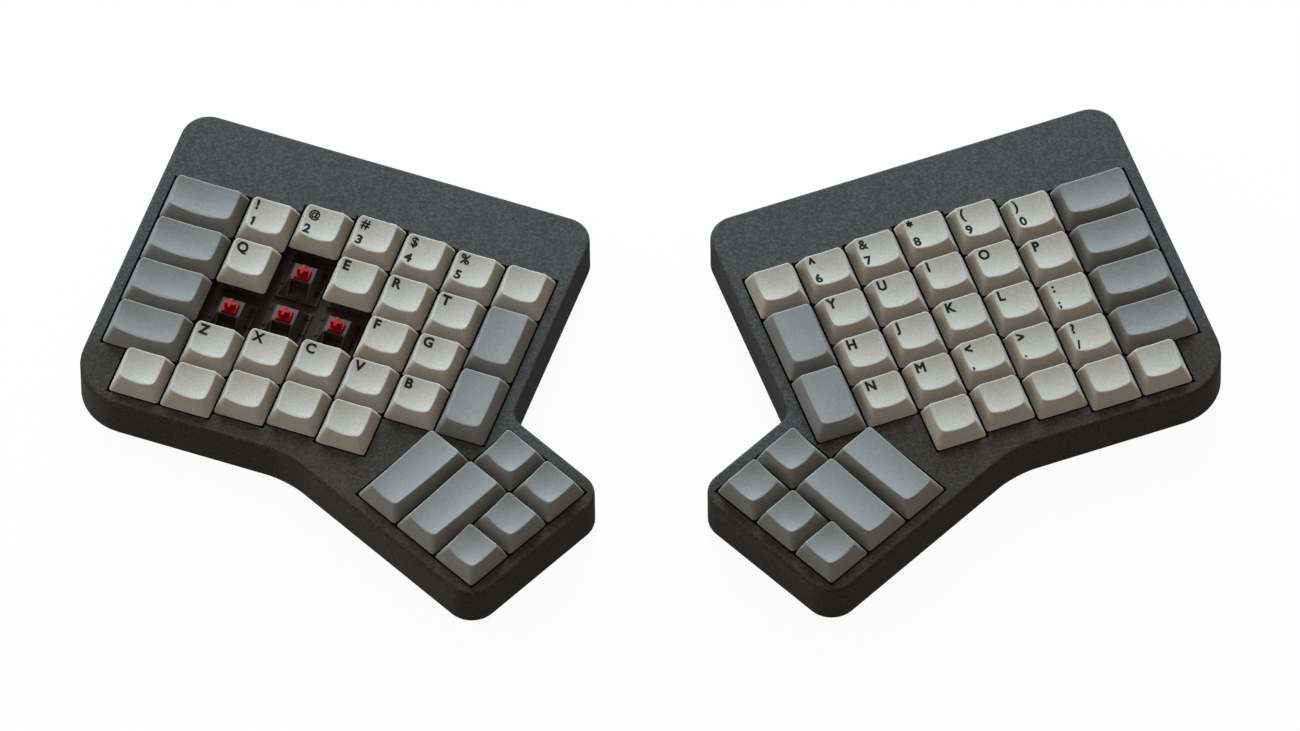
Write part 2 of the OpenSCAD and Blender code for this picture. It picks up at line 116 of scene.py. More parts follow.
@dataclass(frozen=True)
class Layout:
    """Places of the keys in a half, and of the halves on the desk."""

    column_left: tuple[float, ...] = (0.0, 1.5, 2.5, 3.5, 4.5, 5.5, 6.5)
    column_drop: tuple[float, ...] = (4.8, 4.8, 1.6, 0.0, 1.6, 2.8, 2.8)
    rows: int = 4
    thumb_turn: float = 25.0
    thumb_nudge: tuple[float, float] = (-0.15, 0.45)
    thumb_corner: tuple[float, float] = (
        column_left[-1] * PITCH + thumb_nudge[0], -column_drop[-1] - rows * PITCH + thumb_nudge[1])
    half_turn: float = 20.0
    half_origin: tuple[float, float] = (165.8613, 82.0509)

    @property
    def inner(self) -> int:
        """Index of the inner column."""
        return len(self.column_left) - 1

    def column_key(self, column: int, row: float, wide: float = 1.0, tall: float = 1.0, shift: float = 0.0) -> Cell:
        """Gives the cell of a key in a column.

        Args:
            column: Column, from the outer one to the inner one.
            row: Rows between the back of the column and the key.
            wide: Width in pitches.
            tall: Depth in pitches.
            shift: Distance from the column's left edge in pitches.

        Returns:
            The key's cell.
        """
        x = (self.column_left[column] + shift + wide / 2) * PITCH
        y = -self.column_drop[column] - (row + tall / 2) * PITCH
        return Cell(x, y, 0.0, wide, tall)

    def thumb_point(self, x: float, y: float) -> tuple[float, float]:
        """Point of the thumb cluster, x across it and y along it from its corner, in the half's frame."""
        turned = Matrix.Rotation(-math.radians(self.thumb_turn), 2) @ Vector((x, y))
        return self.thumb_corner[0] + turned.x, self.thumb_corner[1] + turned.y

    def thumb_key(self, left: float, low: float, tall: float = 1.0, wide: float = 1.0) -> Cell:
        """Cell of a thumb key from its left and front edges in the cluster and its size, all in pitches."""
        x, y = self.thumb_point((left + wide / 2) * PITCH, (low + tall / 2) * PITCH)
        return Cell(x, y, -self.thumb_turn, wide, tall)

    def groups(self) -> dict[str, list[Cell]]:
        """Gives the cells of the keys that share a node.

        Returns:
            The cells by the name of their group.
        """
        first_bottom = self.column_key(0, self.rows, shift=0.5)
        return {
            "number": [self.column_key(c, 0) for c in range(1, self.inner + 1)],
            "outer": [self.column_key(0, r, wide=1.5) for r in range(self.rows)],
            "bottom": [first_bottom, *(self.column_key(c, self.rows) for c in range(1, self.inner - 1))],
            "inner": [self.column_key(self.inner, r, tall=1.5) for r in (1.0, 2.5)],
            "thumb_tall": [self.thumb_key(left, -2, tall=2) for left in (0, 1)],
            "thumb_small": [self.thumb_key(1, 0), *(self.thumb_key(2, low) for low in (0, -1, -2))],
        }

    def letters(self) -> list[Cell]:
        """Cells of the three letter rows, from the outer column inwards."""
        return [self.column_key(c, r) for r in range(1, self.rows) for c in range(1, self.inner)]

    def all_keys(self) -> list[Cell]:
        """Cells of all keys of a half."""
        return [cell for group in self.groups().values() for cell in group] + self.letters()

    def blocks(self) -> list[Cell]:
        """Gives the blocks of keys that share one opening in the lid.

        Returns:
            A cell as large as each block.
        """
        return [
            self.column_key(0, 0, wide=1.5, tall=self.rows),
            self.column_key(0, self.rows, shift=0.5),
            *(self.column_key(c, 0, tall=self.rows + 1) for c in range(1, self.inner - 1)),
            self.column_key(self.inner - 1, 0, wide=2, tall=self.rows),
            self.thumb_key(0, -2, tall=2, wide=3),
            self.thumb_key(1, 0, wide=2),
        ]

    def frame(self, half: Half) -> Matrix:
        """Gives the way from a half's millimetres to the row frame's metres.

        Args:
            half: The half.

        Returns:
            A matrix, which mirrors the right half.
        """
        mirror = Matrix.Diagonal((half.value * MM, MM, MM, 1.0))
        move = Matrix.Translation((-self.half_origin[0], self.half_origin[1], 0.0))
        return mirror @ move @ Matrix.Rotation(-math.radians(self.half_turn), 4, "Z")

    def place(self, half: Half, cell: Cell) -> Matrix:
        """Gives the way to a cell for a form that is modelled in mm about its own centre.

        Args:
            half: Half that it goes to.
            cell: Where it goes in that half.

        Returns:
            A matrix to the row frame, which doesn't mirror the form.
        """
        centre = self.frame(half) @ Vector((cell.x, cell.y, 0.0))
        turned = Matrix.Rotation(math.radians(half.value * (cell.turn - self.half_turn)), 4, "Z")
        return Matrix.Translation(centre) @ turned @ Matrix.Scale(MM, 4)


def linear(hex_code: str) -> tuple[float, float, float, float]:
    """Turns an sRGB hex colour into linear RGBA.

    Args:
        hex_code: Colour as #rrggbb.

    Returns:
        Linear red, green, blue and an alpha of 1.
    """
    parts = [int(hex_code[i:i + 2], 16) / 255 for i in (1, 3, 5)]
    red, green, blue = (p / 12.92 if p <= 0.04045 else ((p + 0.055) / 1.055) ** 2.4 for p in parts)
    return red, green, blue, 1.0


def add_node(
    tree: bpy.types.NodeTree,
    kind: str,
    values: dict | None = None,
    links: dict | None = None,
    **settings: object,
) -> bpy.types.Node:
    """Adds a node with its settings and links.

    Args:
        tree: Node tree to add it to.
        kind: Blender's name of the kind of node.
        values: Values of input sockets, by socket name or index.
        links: Output sockets that feed input sockets, by socket name or index.
        **settings: Properties of the node.

    Returns:
        The new node.
    """
    node = tree.nodes.new(kind)
    for name, value in settings.items():
        setattr(node, name, value)
    for socket, value in (values or {}).items():
        node.inputs[socket].default_value = value
    for socket, source in (links or {}).items():
        tree.links.new(source, node.inputs[socket])
    return node


@dataclass(frozen=True)
class Finish:
    """A moulded, coated or plated surface: a base colour with broad patches and fine grains in it.

    Grain and patch sizes are in millimetres, and roughness goes from the grains' hollows to their tops.
    """

    name: str
    base: str
    patch: str
    grain: str
    patch_mm: float = 18.0
    grain_mm: float = 0.5
    grain_share: float = 0.5
    roughness: tuple[float, float] = (0.5, 0.65)
    relief_mm: float = 0.02
    specular: float = 0.5
    metallic: float = 0.0
    sheen: float = 0.0
    # Colour that multiplies the front of the case's top: painted shade for the keycaps' shadow
    front_shade: str = ""

    # Values of the noise between which the patches and the grains set in and the gloss changes
    PATCHES, GRAINS, GLOSS = (0.35, 0.7), (0.4, 0.68), (0.3, 0.7)
    # Places in mm between which the painted shade for the keycaps' shadow sets in: towards the front, and up over the
    # edge of the case's top
    PALM_FRONT, PALM_TOP = (-58.0, -69.0), (16.5, 18.2)

    def rubbed(
        self,
        tree: bpy.types.NodeTree,
        place: bpy.types.NodeSocket,
        colour: bpy.types.NodeSocket,
    ) -> bpy.types.NodeSocket:
        """Darkens a colour on the front of the halves' tops: painted shade for the shadow that the keycaps cast there.

        Args:
            tree: Nodes of the material.
            place: Object coordinates.
            colour: Colour of the surface without the painted shade.

        Returns:
            The colour with the painted shade.
        """
        spot = add_node(tree, "ShaderNodeSeparateXYZ", links={0: place}).outputs
        aside = add_node(tree, "ShaderNodeMath", links={0: spot["X"]}, operation="ABSOLUTE")
        # Lines along the rows of keys, which slope down towards the middle on both halves
        along = add_node(tree, "ShaderNodeMath", {1: -math.tan(math.radians(Layout.half_turn))},
                         {0: aside.outputs[0], 2: spot["Y"]}, operation="MULTIPLY_ADD")
        shares = [add_node(tree, "ShaderNodeMapRange", {"From Min": start * MM, "From Max": end * MM},
                           {"Value": value}).outputs[0]
                  for (start, end), value in ((self.PALM_FRONT, along.outputs[0]), (self.PALM_TOP, spot["Z"]))]
        share = add_node(tree, "ShaderNodeMath", links=dict(enumerate(shares)), operation="MULTIPLY")
        return add_node(tree, "ShaderNodeMix", {7: linear(self.front_shade)}, {0: share.outputs[0], 6: colour},
                        data_type="RGBA", blend_type="MULTIPLY").outputs[2]

    def build(self) -> bpy.types.Material:
        """Makes the material.

        Returns:
            A node material that reads Object coordinates.
        """
        material = bpy.data.materials.new(self.name)
        material.use_nodes = True
        material.diffuse_color = linear(self.base)
        tree = material.node_tree
        tree.nodes.clear()
        place = add_node(tree, "ShaderNodeTexCoord").outputs["Object"]
        # Object coordinates are metres, so a pattern of n millimetres has a scale of 1000 / n
        broad = add_node(tree, "ShaderNodeTexNoise", {"Scale": 1 / (MM * self.patch_mm), "Detail": 3.0},
                         {"Vector": place})
        fine = add_node(tree, "ShaderNodeTexNoise", {"Scale": 1 / (MM * self.grain_mm), "Detail": 2.0,
                                                     "Roughness": 0.65}, {"Vector": place})
        patches, grains, gloss = (
            add_node(tree, "ShaderNodeMapRange",
                     {"From Min": start, "From Max": end, "To Min": low, "To Max": high},
                     {"Value": noise.outputs["Fac"]}).outputs[0]
            for noise, (start, end), (low, high) in (
                (broad, self.PATCHES, (0.0, 1.0)),
                (fine, self.GRAINS, (0.0, self.grain_share)),
                (fine, self.GLOSS, self.roughness),
            ))
        clouded = add_node(tree, "ShaderNodeMix", {6: linear(self.base), 7: linear(self.patch)}, {0: patches},
                           data_type="RGBA")
        grained = add_node(tree, "ShaderNodeMix", {7: linear(self.grain)}, {0: grains, 6: clouded.outputs[2]},
                           data_type="RGBA")
        colour = grained.outputs[2]
        # Painted shade: the front of the case's top is darkened where the keycaps' shadow falls
        if self.front_shade:
            colour = self.rubbed(tree, place, colour)
        relief = add_node(tree, "ShaderNodeBump", {"Strength": 1.0, "Distance": self.relief_mm * MM},
                          {"Height": fine.outputs["Fac"]})
        surface = add_node(tree, "ShaderNodeBsdfPrincipled",
                           {"Metallic": self.metallic, "Specular IOR Level": self.specular,
                            "Sheen Weight": self.sheen},
                           {"Base Color": colour, "Roughness": gloss, "Normal": relief.outputs["Normal"]})
        add_node(tree, "ShaderNodeOutputMaterial", links={"Surface": surface.outputs["BSDF"]})
        return material


class Surface(Enum):
    """The keyboard's finishes."""

    # Spark-eroded moulded ABS, slate: an even matt grain that sparkles a little in the light. The grain is drawn at
    # four times its real 0.25 mm, so that it shows in a view of the whole keyboard, and the front of the top is
    # darkened with painted shade for the keycaps' shadow
    CASE = Finish("slate_moulded_abs", "#434445", "#3f403f", "#646766", patch_mm=40, grain_mm=1.0, grain_share=0.62,
                  roughness=(0.65, 0.85), relief_mm=0.06, specular=0.03, front_shade="#dad1c6")
    # Moulded PBT keycap, beige-grey: a fine dry texture, smoother where fingers rub it; drawn at twice its real 0.3 mm
    LIGHT_CAP = Finish("beige_moulded_pbt", "#b6b9b0", "#b0b1a6", "#cdd0ca", patch_mm=9, grain_mm=0.6, grain_share=0.6,
                       roughness=(0.42, 0.58), relief_mm=0.015, specular=0.2)
    # The same keycap plastic in blue-grey, for the keys around the letters
    GREY_CAP = Finish("blue_grey_moulded_pbt", "#848a8b", "#7e8281", "#999f9f", patch_mm=9, grain_mm=0.6,
                      grain_share=0.5, roughness=(0.42, 0.58), relief_mm=0.015, specular=0.2)
    # Printed legend ink, flat black with a dry edge
    INK = Finish("black_legend_ink", "#0e0f10", "#131415", "#1b1c1e", patch_mm=2, grain_mm=0.15, grain_share=0.5,
                 roughness=(0.6, 0.75), relief_mm=0.004, specular=0.1)
    # Slick moulded acetal slider, signal red and satin
    RED_STEM = Finish("red_moulded_acetal", "#ad0e10", "#980a0c", "#bf1719", patch_mm=3, grain_mm=0.25,
                      roughness=(0.35, 0.5), relief_mm=0.008, specular=0.1)
    # Moulded nylon switch housing, brown-black, dull with a slight haze on its faces
    HOUSING = Finish("smoky_moulded_nylon", "#3d3631", "#362e2a", "#4d4640", patch_mm=5, grain_mm=0.3, grain_share=0.5,
                     roughness=(0.42, 0.58), relief_mm=0.01, specular=0.06)
    # The same nylon in a lighter copy on the crown's top and the thin ribs beside the lamp recess: a painted highlight
    # where the light catches them
    RUBBED = Finish("rubbed_moulded_nylon", "#5f5a58", "#55504e", "#6f6a67", patch_mm=3, grain_mm=0.3, grain_share=0.5,
                    roughness=(0.42, 0.58), relief_mm=0.01, specular=0.06)
    # Powder coated steel plate, black with an orange-peel surface
    PLATE = Finish("black_powder_coated_steel", "#373029", "#302924", "#453d37", patch_mm=14, grain_mm=0.6,
                   roughness=(0.5, 0.7), relief_mm=0.03, specular=0.05)
    # Solder mask over copper: glossy green with the traces' faint clouds
    BOARD = Finish("green_solder_mask", "#1d3a2a", "#234834", "#17301f", patch_mm=3, grain_mm=0.8,
                   roughness=(0.25, 0.4), relief_mm=0.01)
    # Zinc plated steel: bright, faintly mottled by the bath
    STEEL = Finish("zinc_plated_steel", "#a9abad", "#9b9fa3", "#bcbfc2", patch_mm=2, grain_mm=0.2,
                   roughness=(0.25, 0.42), relief_mm=0.004, metallic=1.0)
    # Moulded rubber foot: black, dull and slightly dusty
    RUBBER = Finish("black_moulded_rubber", "#1b1b1b", "#222221", "#2c2b2a", patch_mm=4, grain_mm=0.35,
                    roughness=(0.75, 0.9), relief_mm=0.02, specular=0.25, sheen=0.15)
    # Glass-filled nylon of the link jack: black and satin
    JACK = Finish("black_moulded_nylon", "#242322", "#2b2a29", "#333130", patch_mm=4, grain_mm=0.3,
                  roughness=(0.4, 0.55), relief_mm=0.01)

    @cached_property
    def material(self) -> bpy.types.Material:
        """Its material, made when it is first asked for."""
        return self.value.build()


SMOOTH_ANGLE = math.radians(38)


def new_object(name: str, data: bpy.types.ID) -> bpy.types.Object:
    """Links a new object to the scene.

    Args:
        name: Name of the object.
        data: Mesh, text, light or camera that it shows.

    Returns:
        The object, at the origin.
    """
    made = bpy.data.objects.new(name, data)
    bpy.context.scene.collection.objects.link(made)
    return made


def to_mesh(form: bmesh.types.BMesh, name: str) -> bpy.types.Mesh:
    """Turns a bmesh into a mesh and frees it.

    Args:
        form: Form to turn; it can't be used afterwards.
        name: Name of the mesh.

    Returns:
        The new mesh.
    """
    bmesh.ops.recalc_face_normals(form, faces=form.faces[:])
    mesh = bpy.data.meshes.new(name)
    form.to_mesh(mesh)
    form.free()
    return mesh


def append(form: bmesh.types.BMesh, mesh: bpy.types.Mesh, matrix: Matrix) -> None:
    """Adds a moved copy of a mesh to a form.

    Args:
        form: Form that grows.
        mesh: Mesh to copy.
        matrix: Where the copy goes.
    """
    copy = mesh.copy()
    copy.transform(matrix)
    form.from_mesh(copy)
    bpy.data.meshes.remove(copy)


def paint(form: bmesh.types.BMesh, index: int) -> None:
    """Gives every face of a form one material index."""
    for face in form.faces:
        face.material_index = index


def bevel(form: bmesh.types.BMesh, edges: Sequence[bmesh.types.BMEdge], offset: float, segments: int) -> None:
    """Rounds edges of a form, from an offset in mm on both sides of each, in a number of segments."""
    bmesh.ops.bevel(form, geom=list(edges), offset=offset, offset_type="OFFSET", segments=segments, profile=0.5,
                    affect="EDGES", material=-1, clamp_overlap=False)


def block(low: Sequence[float], high: Sequence[float]) -> bmesh.types.BMesh:
    """Makes a block between two corners.

    Args:
        low: Lowest corner in mm.
        high: Highest corner in mm.

    Returns:
        The block.
    """
    form = bmesh.new()
    bmesh.ops.create_cube(form, size=1.0)
    size = [b - a for a, b in zip(low, high)]
    middle = [(a + b) / 2 for a, b in zip(low, high)]
    bmesh.ops.scale(form, vec=size, verts=form.verts[:])
    bmesh.ops.translate(form, vec=middle, verts=form.verts[:])
    return form


def disc(radius: float, low: float, high: float, segments: int = 32) -> bmesh.types.BMesh:
    """Makes an upright round bar about the z axis.

    Args:
        radius: Radius in mm.
        low: Height of its foot in mm.
        high: Height of its top in mm.
        segments: Number of its sides.

    Returns:
        The bar.
    """
    form = bmesh.new()
    bmesh.ops.create_cone(form, cap_ends=True, segments=segments, radius1=radius, radius2=radius, depth=high - low)
    bmesh.ops.translate(form, vec=(0.0, 0.0, (low + high) / 2), verts=form.verts[:])
    return form


def joined(forms: Sequence[bmesh.types.BMesh], matrices: Sequence[Matrix] = ()) -> bmesh.types.BMesh:
    """Puts forms together in one.

    Args:
        forms: Forms to join; they can't be used afterwards.
        matrices: A matrix for each, if they move.

    Returns:
        The joined form.
    """
    whole = bmesh.new()
    for form, matrix in zip(forms, matrices or [Matrix.Identity(4)] * len(forms)):
        mesh = to_mesh(form, "part")
        append(whole, mesh, matrix)
        bpy.data.meshes.remove(mesh)
    return whole


def evaluated_mesh(shown: bpy.types.Object) -> bpy.types.Mesh:
    """Makes a mesh of an object as its modifiers leave it.

    Args:
        shown: Mesh or text object.

    Returns:
        A new mesh.
    """
    bpy.context.view_layer.update()
    evaluated = shown.evaluated_get(bpy.context.evaluated_depsgraph_get())
    return bpy.data.meshes.new_from_object(evaluated)


def carved(
    body: bmesh.types.BMesh,
    steps: Sequence[tuple[Carve, bmesh.types.BMesh]],
    rim: float = 0.0,
    rim_angle: float = 50.0,
) -> bpy.types.Mesh:
    """Cuts and joins forms by Boolean steps, then rounds the sharp edges if a rim is given.

    Args:
        body: Form to start from; it and the tools can't be used afterwards.
        steps: What each tool does, in order.
        rim: Width of the rounding in mm.
        rim_angle: Angle in degrees past which an edge is rounded.

    Returns:
        The finished mesh in mm.
    """
    objects = [new_object("carved_body", to_mesh(body, "carved_body"))]
    for action, tool in steps:
        objects.append(new_object("carving_tool", to_mesh(tool, "carving_tool")))
        step = objects[0].modifiers.new("carve", "BOOLEAN")
        step.operation = action.value
        step.object = objects[-1]
        step.solver = "EXACT"
        step.use_self = True
    if rim:
        edge = objects[0].modifiers.new("rim", "BEVEL")
        edge.width = rim
        edge.segments = 2
        edge.limit_method = "ANGLE"
        edge.angle_limit = math.radians(rim_angle)
    mesh = evaluated_mesh(objects[0])
    for used in objects:
        data = used.data
        bpy.data.objects.remove(used)
        bpy.data.meshes.remove(data)
    return mesh


def finished(
    name: str,
    mesh: bpy.types.Mesh,
    surfaces: Sequence[Surface],
    body: str,
    nodes: Sequence[str],
) -> None:
    """Makes a piece of the model from a mesh in the row frame.

    Args:
        name: Name of the piece.
        mesh: Its mesh in metres.
        surfaces: Its finishes, in the order of the material indices.
        body: CAD body that it rides on.
        nodes: CAD nodes that it stands for.
    """
    for surface in surfaces:
        mesh.materials.append(surface.material)
    mesh.shade_smooth()
    mesh.set_sharp_from_angle(angle=SMOOTH_ANGLE)
    made = new_object(name, mesh)
    made.data.name = name
    weighted = made.modifiers.new("even_shading", "WEIGHTED_NORMAL")
    weighted.keep_sharp = True
    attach(made, body)
    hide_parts(*nodes)
    LOG.info("%s: %d faces on %s", name, len(mesh.polygons), body)


def fixed_piece(
    half: Half,
    name: str,
    meshes: Sequence[bpy.types.Mesh],
    places: Sequence[Matrix],
    surfaces: Sequence[Surface],
    node: str,
) -> None:
    """Makes a piece that is fixed to its half from copies of meshes.

    Args:
        half: Half that it belongs to.
        name: Name of the piece without its half.
        meshes: Meshes in mm; they can't be used afterwards.
        places: Matrices to the row frame, one for each copy of the meshes.
        surfaces: Its finishes, in the order of the material indices.
        node: CAD node that it stands for, without its half.
    """
    form = bmesh.new()
    for place in places:
        for mesh in meshes:
            append(form, mesh, place)
    for mesh in meshes:
        bpy.data.meshes.remove(mesh)
    finished(half.prefix + name, to_mesh(form, name), surfaces, half.body, [half.prefix + node])


@dataclass(frozen=True)
class Wall:
    """A wall of the case.

    It has its outward direction in degrees, its distance from the half's origin in mm, and the radius of its corner
    with the next wall, which is negative where that corner is hollow.
    """

    angle: float
    distance: float
    radius: float

    @property
    def outward(self) -> Vector:
        """Direction that the wall faces."""
        return Vector((math.cos(math.radians(self.angle)), math.sin(math.radians(self.angle))))


@dataclass(frozen=True)
class Case:
    """Lid and tray of a half, in mm.

    The palm is the radius of the outer front corner, and web and neck are those of the hollow corners before and behind
    the thumb cluster. The outer walls lie a little inside those of the CAD model.
    """

    layout: Layout
    z: Heights
    border: float = 5.0
    back_border: float = 24.9
    thickness: float = 2.5
    corner: float = 10.0
    palm: float = 20.0
    neck: float = 5.0
    web: float = 35.0
    well_gap: float = 0.4
    top_edge: float = 1.3
    foot_edge: float = 0.9
    seam: float = 0.25
    inside: float = 0.02
    corner_steps: int = 10
    top_steps: int = 5
    foot_steps: int = 4
    support_radius: float = 1.6
    boss_radius: float = 4.0
    boss_points: tuple[tuple[float, float], ...] = (
        (14.2875, 11.4), (76.2, 11.4), (133.35, 11.4), (3.3125, -90.525), (110.375, -85.8))
    head_hole: float = 2.95
    head_seat: float = 3.5
    shank_hole: float = 1.7
    thread_hole: float = 1.55
    thread_deep: float = 3.8
    jack_x: float = 99.06
    jack_hole: float = 2.6
    jack_gap: float = 0.2
    usb_x: float = 55.245
    usb_hole: tuple[float, float, float] = (9.4, 8.1, 12.2)

    def walls(self) -> list[Wall]:
        """Gives the walls of a half in turn.

        Returns:
            The walls from the front wall to the front wall again.
        """
        corner = Vector(self.layout.thumb_corner)
        turn = math.radians(self.layout.thumb_turn)
        across = Vector((math.cos(turn), -math.sin(turn)))
        along = Vector((math.sin(turn), math.cos(turn)))
        front = self.layout.column_drop[0] + (self.layout.rows + 1) * PITCH + self.border
        right = (self.layout.column_left[-1] + 1) * PITCH + self.border
        degrees = self.layout.thumb_turn
        return [
            Wall(-90, front, -self.web),
            Wall(-90 - degrees, -corner.dot(along) + 2 * PITCH + self.border, self.corner),
            Wall(-degrees, corner.dot(across) + 3 * PITCH + self.border, self.corner),
            Wall(90 - degrees, corner.dot(along) + PITCH + self.border, -self.neck),
            Wall(0, right, self.corner),
            Wall(90, self.back_border, self.corner),
            Wall(180, self.border, self.palm),
            Wall(270, front, -self.web),
        ]

    def prism(self, inset: float, low: float, high: float) -> bmesh.types.BMesh:
        """Makes the case's outline, drawn in by an inset, as an upright block.

        Args:
            inset: Distance inside the outer walls in mm.
            low: Height of its foot.
            high: Height of its top.

        Returns:
            The block with its corners rounded.
        """
        walls = self.walls()
        form = bmesh.new()
        corners, offsets = [], []
        for a, b in zip(walls, walls[1:]):
            m, n = a.outward, b.outward
            p, q = a.distance - inset, b.distance - inset
            cross = m.x * n.y - m.y * n.x
            corners.append(form.verts.new(((p * n.y - q * m.y) / cross, (q * m.x - p * n.x) / cross, low)))
            offsets.append(abs((a.radius - inset) * math.tan(math.radians((b.angle - a.angle) / 2))))
        base = form.faces.new(corners)
        raised = bmesh.ops.extrude_face_region(form, geom=[base])["geom"]
        tops = [v for v in raised if isinstance(v, bmesh.types.BMVert)]
        bmesh.ops.translate(form, vec=(0.0, 0.0, high - low), verts=tops)
        upright = [next(e for e in v.link_edges if (e.other_vert(v).co - v.co).xy.length < NEAR) for v in corners]
        for edge, offset in zip(upright, offsets):
            bevel(form, [edge], offset, self.corner_steps)
        bmesh.ops.recalc_face_normals(form, faces=form.faces[:])
        return form

    @staticmethod
    def level_edges(form: bmesh.types.BMesh, height: float) -> list[bmesh.types.BMEdge]:
        """Edges of a form that lie at a height."""
        return [e for e in form.edges if all(abs(v.co.z - height) < NEAR for v in e.verts)]

    @staticmethod
    def posts(radius: float, low: float, high: float, points: Sequence[Sequence[float]]) -> bmesh.types.BMesh:
        """Upright round bars at points of the half, in mm."""
        bars = [disc(radius, low, high) for _ in points]
        return joined(bars, [Matrix.Translation((x, y, 0.0)) for x, y in points])

    def lid(self, half: Half) -> None:
        """Builds the lid with its key well, rounded top edge and bosses.

        Args:
            half: Half that it belongs to.
        """
        z = self.z
        body = self.prism(self.inside, z.parting, z.case)
        bevel(body, self.level_edges(body, z.case), self.top_edge, self.top_steps)
        wells, places = [], []
        for cell in self.layout.blocks():
            x, y = cell.wide * PITCH / 2 + self.well_gap, cell.tall * PITCH / 2 + self.well_gap
            wells.append(block((-x, -y, z.lid_under - PAST), (x, y, z.case + PAST)))
            turn = Matrix.Rotation(math.radians(cell.turn), 4, "Z")
            places.append(Matrix.Translation((cell.x, cell.y, 0.0)) @ turn)
        mesh = carved(body, [
            (Carve.CUT, self.prism(self.thickness, z.parting - PAST, z.lid_under)),
            (Carve.CUT, joined(wells, places)),
            (Carve.ADD, self.posts(self.boss_radius, z.plate, z.lid_under + PAST, self.boss_points)),
            (Carve.CUT, self.posts(self.thread_hole, z.plate - PAST, z.plate + self.thread_deep, self.boss_points)),
        ], self.seam)
        fixed_piece(half, "lid", [mesh], [self.layout.frame(half)], [Surface.CASE], "top_case")

    def tray(self, half: Half) -> None:
        """Builds the tray with its floor, posts, screw holes and ports.

        Args:
            half: Half that it belongs to.
        """
        z, layout = self.z, self.layout
        body = self.prism(self.inside, z.foot, z.parting)
        bevel(body, self.level_edges(body, z.foot), self.foot_edge, self.foot_steps)
        supports = [
            layout.thumb_point(2 * PITCH, 0), layout.thumb_point(2 * PITCH, -PITCH),
            (layout.column_left[3] * PITCH, -2 * PITCH - layout.column_drop[2] / 2),
            (layout.column_left[5] * PITCH, -2 * PITCH - (layout.column_drop[4] + layout.column_drop[5]) / 2),
        ]
        low, inner, outer = z.foot - PAST, self.back_border - self.thickness - PAST, self.back_border + PAST
        ports = [block((self.jack_x - self.jack_hole, inner, z.board_top - self.jack_gap),
                       (self.jack_x + self.jack_hole, outer, z.parting + PAST))]
        if half is Half.RIGHT:
            wide, bottom, top = self.usb_hole
            ports.append(block((self.usb_x - wide / 2, inner, bottom), (self.usb_x + wide / 2, outer, top)))
        mesh = carved(body, [
            (Carve.CUT, self.prism(self.thickness, z.floor, z.parting + PAST)),
            (Carve.ADD, self.posts(self.boss_radius, z.floor - PAST, z.plate_under, self.boss_points)),
            (Carve.ADD, self.posts(self.support_radius, z.floor - PAST, z.plate_under, supports)),
            (Carve.CUT, self.posts(self.head_hole, low, self.head_seat, self.boss_points)),
            (Carve.CUT, self.posts(self.shank_hole, low, z.plate_under + PAST, self.boss_points)),
            (Carve.CUT, joined(ports)),
        ], self.seam)
        fixed_piece(half, "tray", [mesh], [self.layout.frame(half)], [Surface.CASE], "bottom_case")


